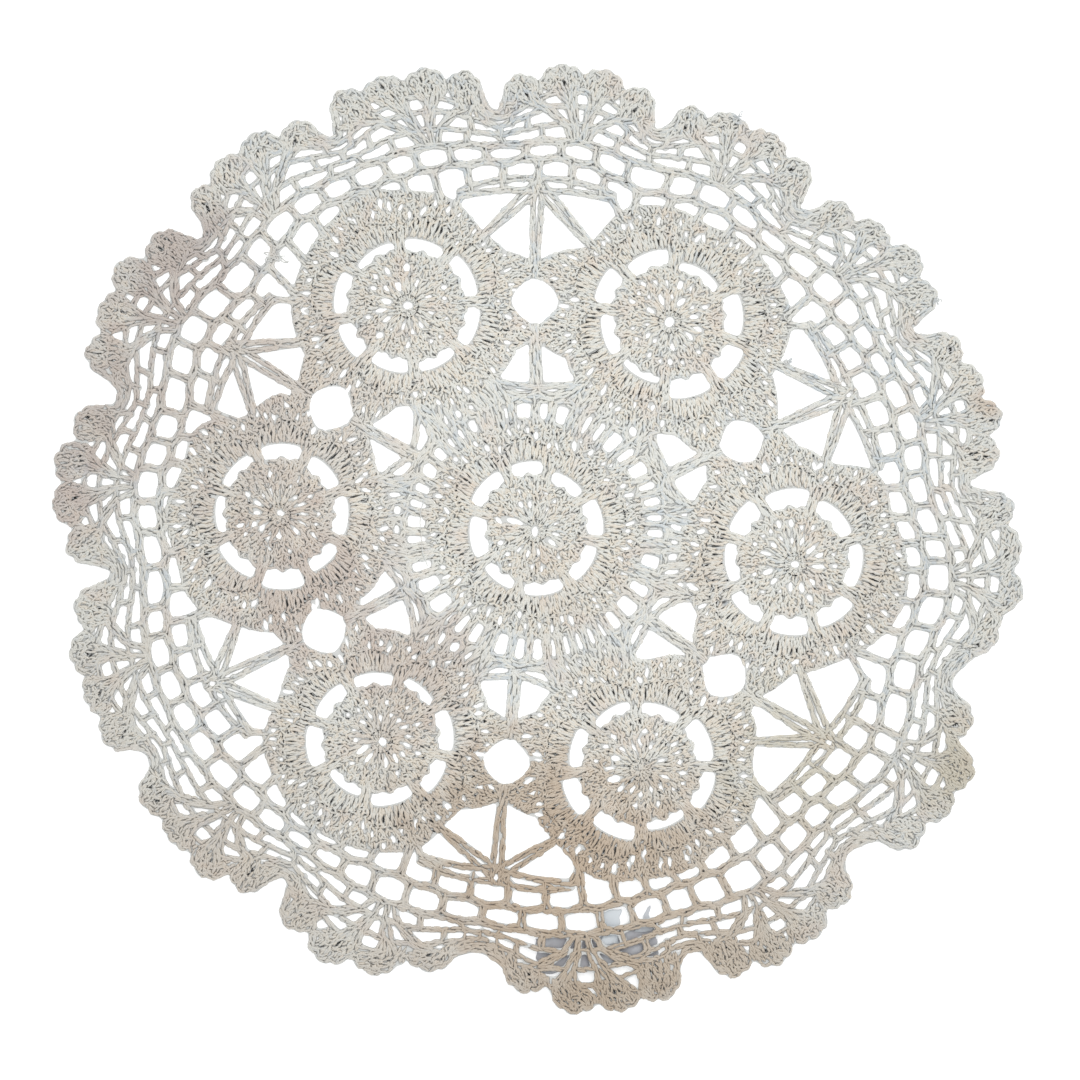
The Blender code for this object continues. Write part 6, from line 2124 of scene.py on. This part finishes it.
@dataclass
class CareLabel:
    """The bare satin label under the lace: a creased strip with a tongue and a turned corner."""

    thick: float = 0.12         # of the cloth
    level: float = 0.42         # height of its middle
    crease: float = 0.34        # height of its creases
    out: float = 0.14           # how far the tongue and the corner lie over the strip
    fold: float = 0.68          # share of the fold's length that they reach

    def patch(self, corners: tuple, lift: float, steps: tuple, bend: float, tone: float) -> tuple:
        """A creased four-cornered sheet: heights follow two slow waves and a crease across it.

        Args:
            corners: Inner left, inner right, outer right and outer left, mm along and across.
            lift: Height above the strip's own.
            steps: Steps along and across.
            bend: How far the left and right edges bend in.
            tone: 0 for the strip in painted shade, 1 for what stands out of it.

        Returns:
            Points, quads and the points' tones.
        """
        u, v = np.meshgrid(*(np.linspace(0, 1, n + 1) for n in steps), indexing="ij")
        c = np.array(corners, float)[:, None, None, :]
        s, t = u[..., None], v[..., None]
        along, across = np.moveaxis((c[0] * (1 - s) + c[1] * s) * (1 - t)
                                    + (c[3] * (1 - s) + c[2] * s) * t, -1, 0)
        along = along + bend * np.sin(np.pi * v) * (1 - 2 * u) + 0.25 * np.sin(across * 1.7)
        across = across + 0.3 * np.sin(along * 0.9 + lift * 20) * np.abs(2 * v - 1)
        high = (self.level + lift + self.crease * 0.5 * np.sin(along * 0.62 + across * 0.35)
                + self.crease * 0.4 * np.sin(across * 0.9 - along * 0.3))
        a = math.radians(LABEL_TURN)
        points = np.stack([LABEL_X + along * math.cos(a) - across * math.sin(a),
                           LABEL_Y + along * math.sin(a) + across * math.cos(a), high], -1)
        index = np.arange(u.size).reshape(u.shape)
        quads = np.stack([index[:-1, :-1], index[1:, :-1], index[1:, 1:], index[:-1, 1:]], -1)
        return points.reshape(-1, 3), quads.reshape(-1, 4), np.full(u.size, tone)

    def build(self, satin: bpy.types.Material) -> list:
        """Make and dress the label.

        Args:
            satin: The label's material.

        Returns:
            Its one piece.
        """
        x, y = LABEL_LONG / 2, LABEL_WIDE / 2
        top = y + LABEL_FOLD * self.fold
        strip = ((-x, -y), (x, -y + 0.8), (x, y), (-x, y - 1.4))
        tongue = ((1.4, 1.0), (7.4, 1.0), (9.3, top), (2.7, top - 0.9))
        corner = ((12.4, y - 2.0), (19.2, y - 2.0), (18.9, top), (17.4, top - 0.7))
        # tones: the strip in painted shade, the tongue pale, the corner between
        points, quads, tones = zip(self.patch(strip, 0.0, (60, 20), 0.0, 0.0),
                                   self.patch(tongue, self.out, (12, 22), 0.3, 1.0),
                                   self.patch(corner, self.out, (10, 14), 0.7, 0.55))
        quads = np.concatenate([q + start for q, start in zip(quads, starts_of(points))])
        points = np.concatenate(points)
        points[:, :2] += PLAN_MIDDLE
        mesh = bpy.data.meshes.new("label_satin")
        mesh.from_pydata((points * MM).tolist(), [], quads.tolist())
        mesh.polygons.foreach_set("use_smooth", np.ones(len(quads), bool))
        tone_mesh(mesh, tones)
        mesh.materials.append(satin)
        piece = placed("label_satin", mesh)
        cloth = piece.modifiers.new("cloth", "SOLIDIFY")
        cloth.thickness = self.thick * MM
        cloth.offset = 0.0
        dress(piece, "label")
        return [piece]


@dataclass
class StrayThreads:
    """Loose ends on the lace: pale threads, bluish wisps and small knots."""

    seed: int = 77
    radius: float = 0.16
    tuft: tuple = (316.5, 124.5)        # bearing and radius of the wisps
    steps: int = 26                     # points of a thread
    soften: int = 7                     # and how many are averaged

    def thread(self, path: list, wander: float, random: np.random.Generator) -> Array:
        """A thread through places, its height over the lace waving slowly.

        Args:
            path: Plan points it passes through.
            wander: How far it strays to the sides.
            random: Random numbers.

        Returns:
            Its points.
        """
        knots, n = np.array(path, float), self.soften
        run = np.concatenate([[0], np.cumsum(np.linalg.norm(np.diff(knots, axis=0), axis=1))])
        t = np.linspace(0, run[-1], self.steps)
        flat = [np.pad(np.interp(t, run, knots[:, k]), n // 2, "edge") for k in (0, 1)]
        soft = np.stack([np.convolve(line, np.ones(n) / n, "valid") for line in flat], -1)
        phase = random.uniform(0, 6, 4)
        soft += wander * np.stack([np.sin(t * 1.3 + phase[0]), np.sin(t * 1.1 + phase[1])], -1)
        high = STRAY_HIGH + 0.12 * np.sin(t * 0.9 + phase[2])
        return np.concatenate([soft, high[:, None]], -1)

    def build(self, cotton: bpy.types.Material) -> list:
        """Make and dress the threads.

        Args:
            cotton: Their material.

        Returns:
            The one piece that holds them.
        """
        random = np.random.default_rng(self.seed)
        wisps = [at(*self.tuft) + random.normal(0, (2.2, 1.4), (7, 2)) for _ in range(7)]
        wisps += [at(b, r) + random.normal(0, 0.9, (6, 2))
                  for b, r in STRAY_KNOTS for _ in range(3)]
        paths = [self.thread(path, 0.25, random) for path in wisps]
        paths += [self.thread([at(b, r) for b, r in line], 0.1, random) for line in STRAY_LINES]
        part = strand_mesh(np.array(paths), self.radius, random, 4)
        part["tone"] = part["tone"] * 0.15
        piece = mesh_object("stray_threads", [part], cotton)
        dress(piece, "lace")
        return [piece]


@dataclass(frozen=True)
class Studio:
    """The table, the soft lights and the camera straight above."""

    floor_half: float = 2.0
    sky: tuple = (0.97, 0.985, 1.0)
    sky_strength: float = 0.86
    key_watts: float = 7.0
    key_size: float = 0.9
    key_place: tuple = (0.55, 0.75, 1.1)
    key_colour: tuple = (1.0, 0.97, 0.93)
    sensor: float = 36.0

    def build(self) -> None:
        """Make the table, light and camera."""
        h = self.floor_half
        mesh = bpy.data.meshes.new("floor")
        mesh.from_pydata([(-h, -h, 0), (h, -h, 0), (h, h, 0), (-h, h, 0)], [], [(0, 1, 2, 3)])
        mesh.materials.append(FloorFinish().material())
        floor = placed("floor", mesh)
        world = bpy.data.worlds.new("studio")
        world.use_nodes = True
        back = world.node_tree.nodes["Background"]
        back.inputs["Color"].default_value = (*self.sky, 1.0)
        back.inputs["Strength"].default_value = self.sky_strength
        bpy.context.scene.world = world
        light = bpy.data.lights.new("key", "AREA")
        light.energy, light.size, light.color = self.key_watts, self.key_size, self.key_colour
        lamp = placed("key", light)
        lamp.location = self.key_place
        lamp.rotation_mode = "QUATERNION"
        aim = -np.array(self.key_place)
        lamp.rotation_quaternion = Vector(aim.tolist()).to_track_quat("-Z", "Y")
        self.camera()

    def camera(self) -> None:
        """The camera straight above, framing the width of table that is to be seen."""
        data = bpy.data.cameras.new("camera")
        data.sensor_width = self.sensor
        data.lens = self.sensor * CAMERA_HIGH / VIEW_WIDE
        camera = placed("camera", data)
        camera.location = [x * MM for x in (*VIEW_MIDDLE, CAMERA_HIGH + SHEET_MID)]
        bpy.context.scene.camera = camera
        bpy.context.scene.view_settings.view_transform = "Standard"


def main() -> None:
    """Build the studio, then the crochet, then the label."""
    logging.basicConfig(level=logging.INFO)
    Studio().build()
    cotton = CottonFinish().material()
    pieces = LaceWork().build(cotton) + StrayThreads().build(cotton)
    pieces += CareLabel().build(SatinFinish().material())
    total = 0
    for piece in pieces:
        triangles = sum(len(face.vertices) - 2 for face in piece.data.polygons)
        total += triangles
        LOG.info("%s: %d triangles", piece.name, triangles)
    LOG.info("all pieces: %d triangles", total)


if __name__ == "__main__":
    main()
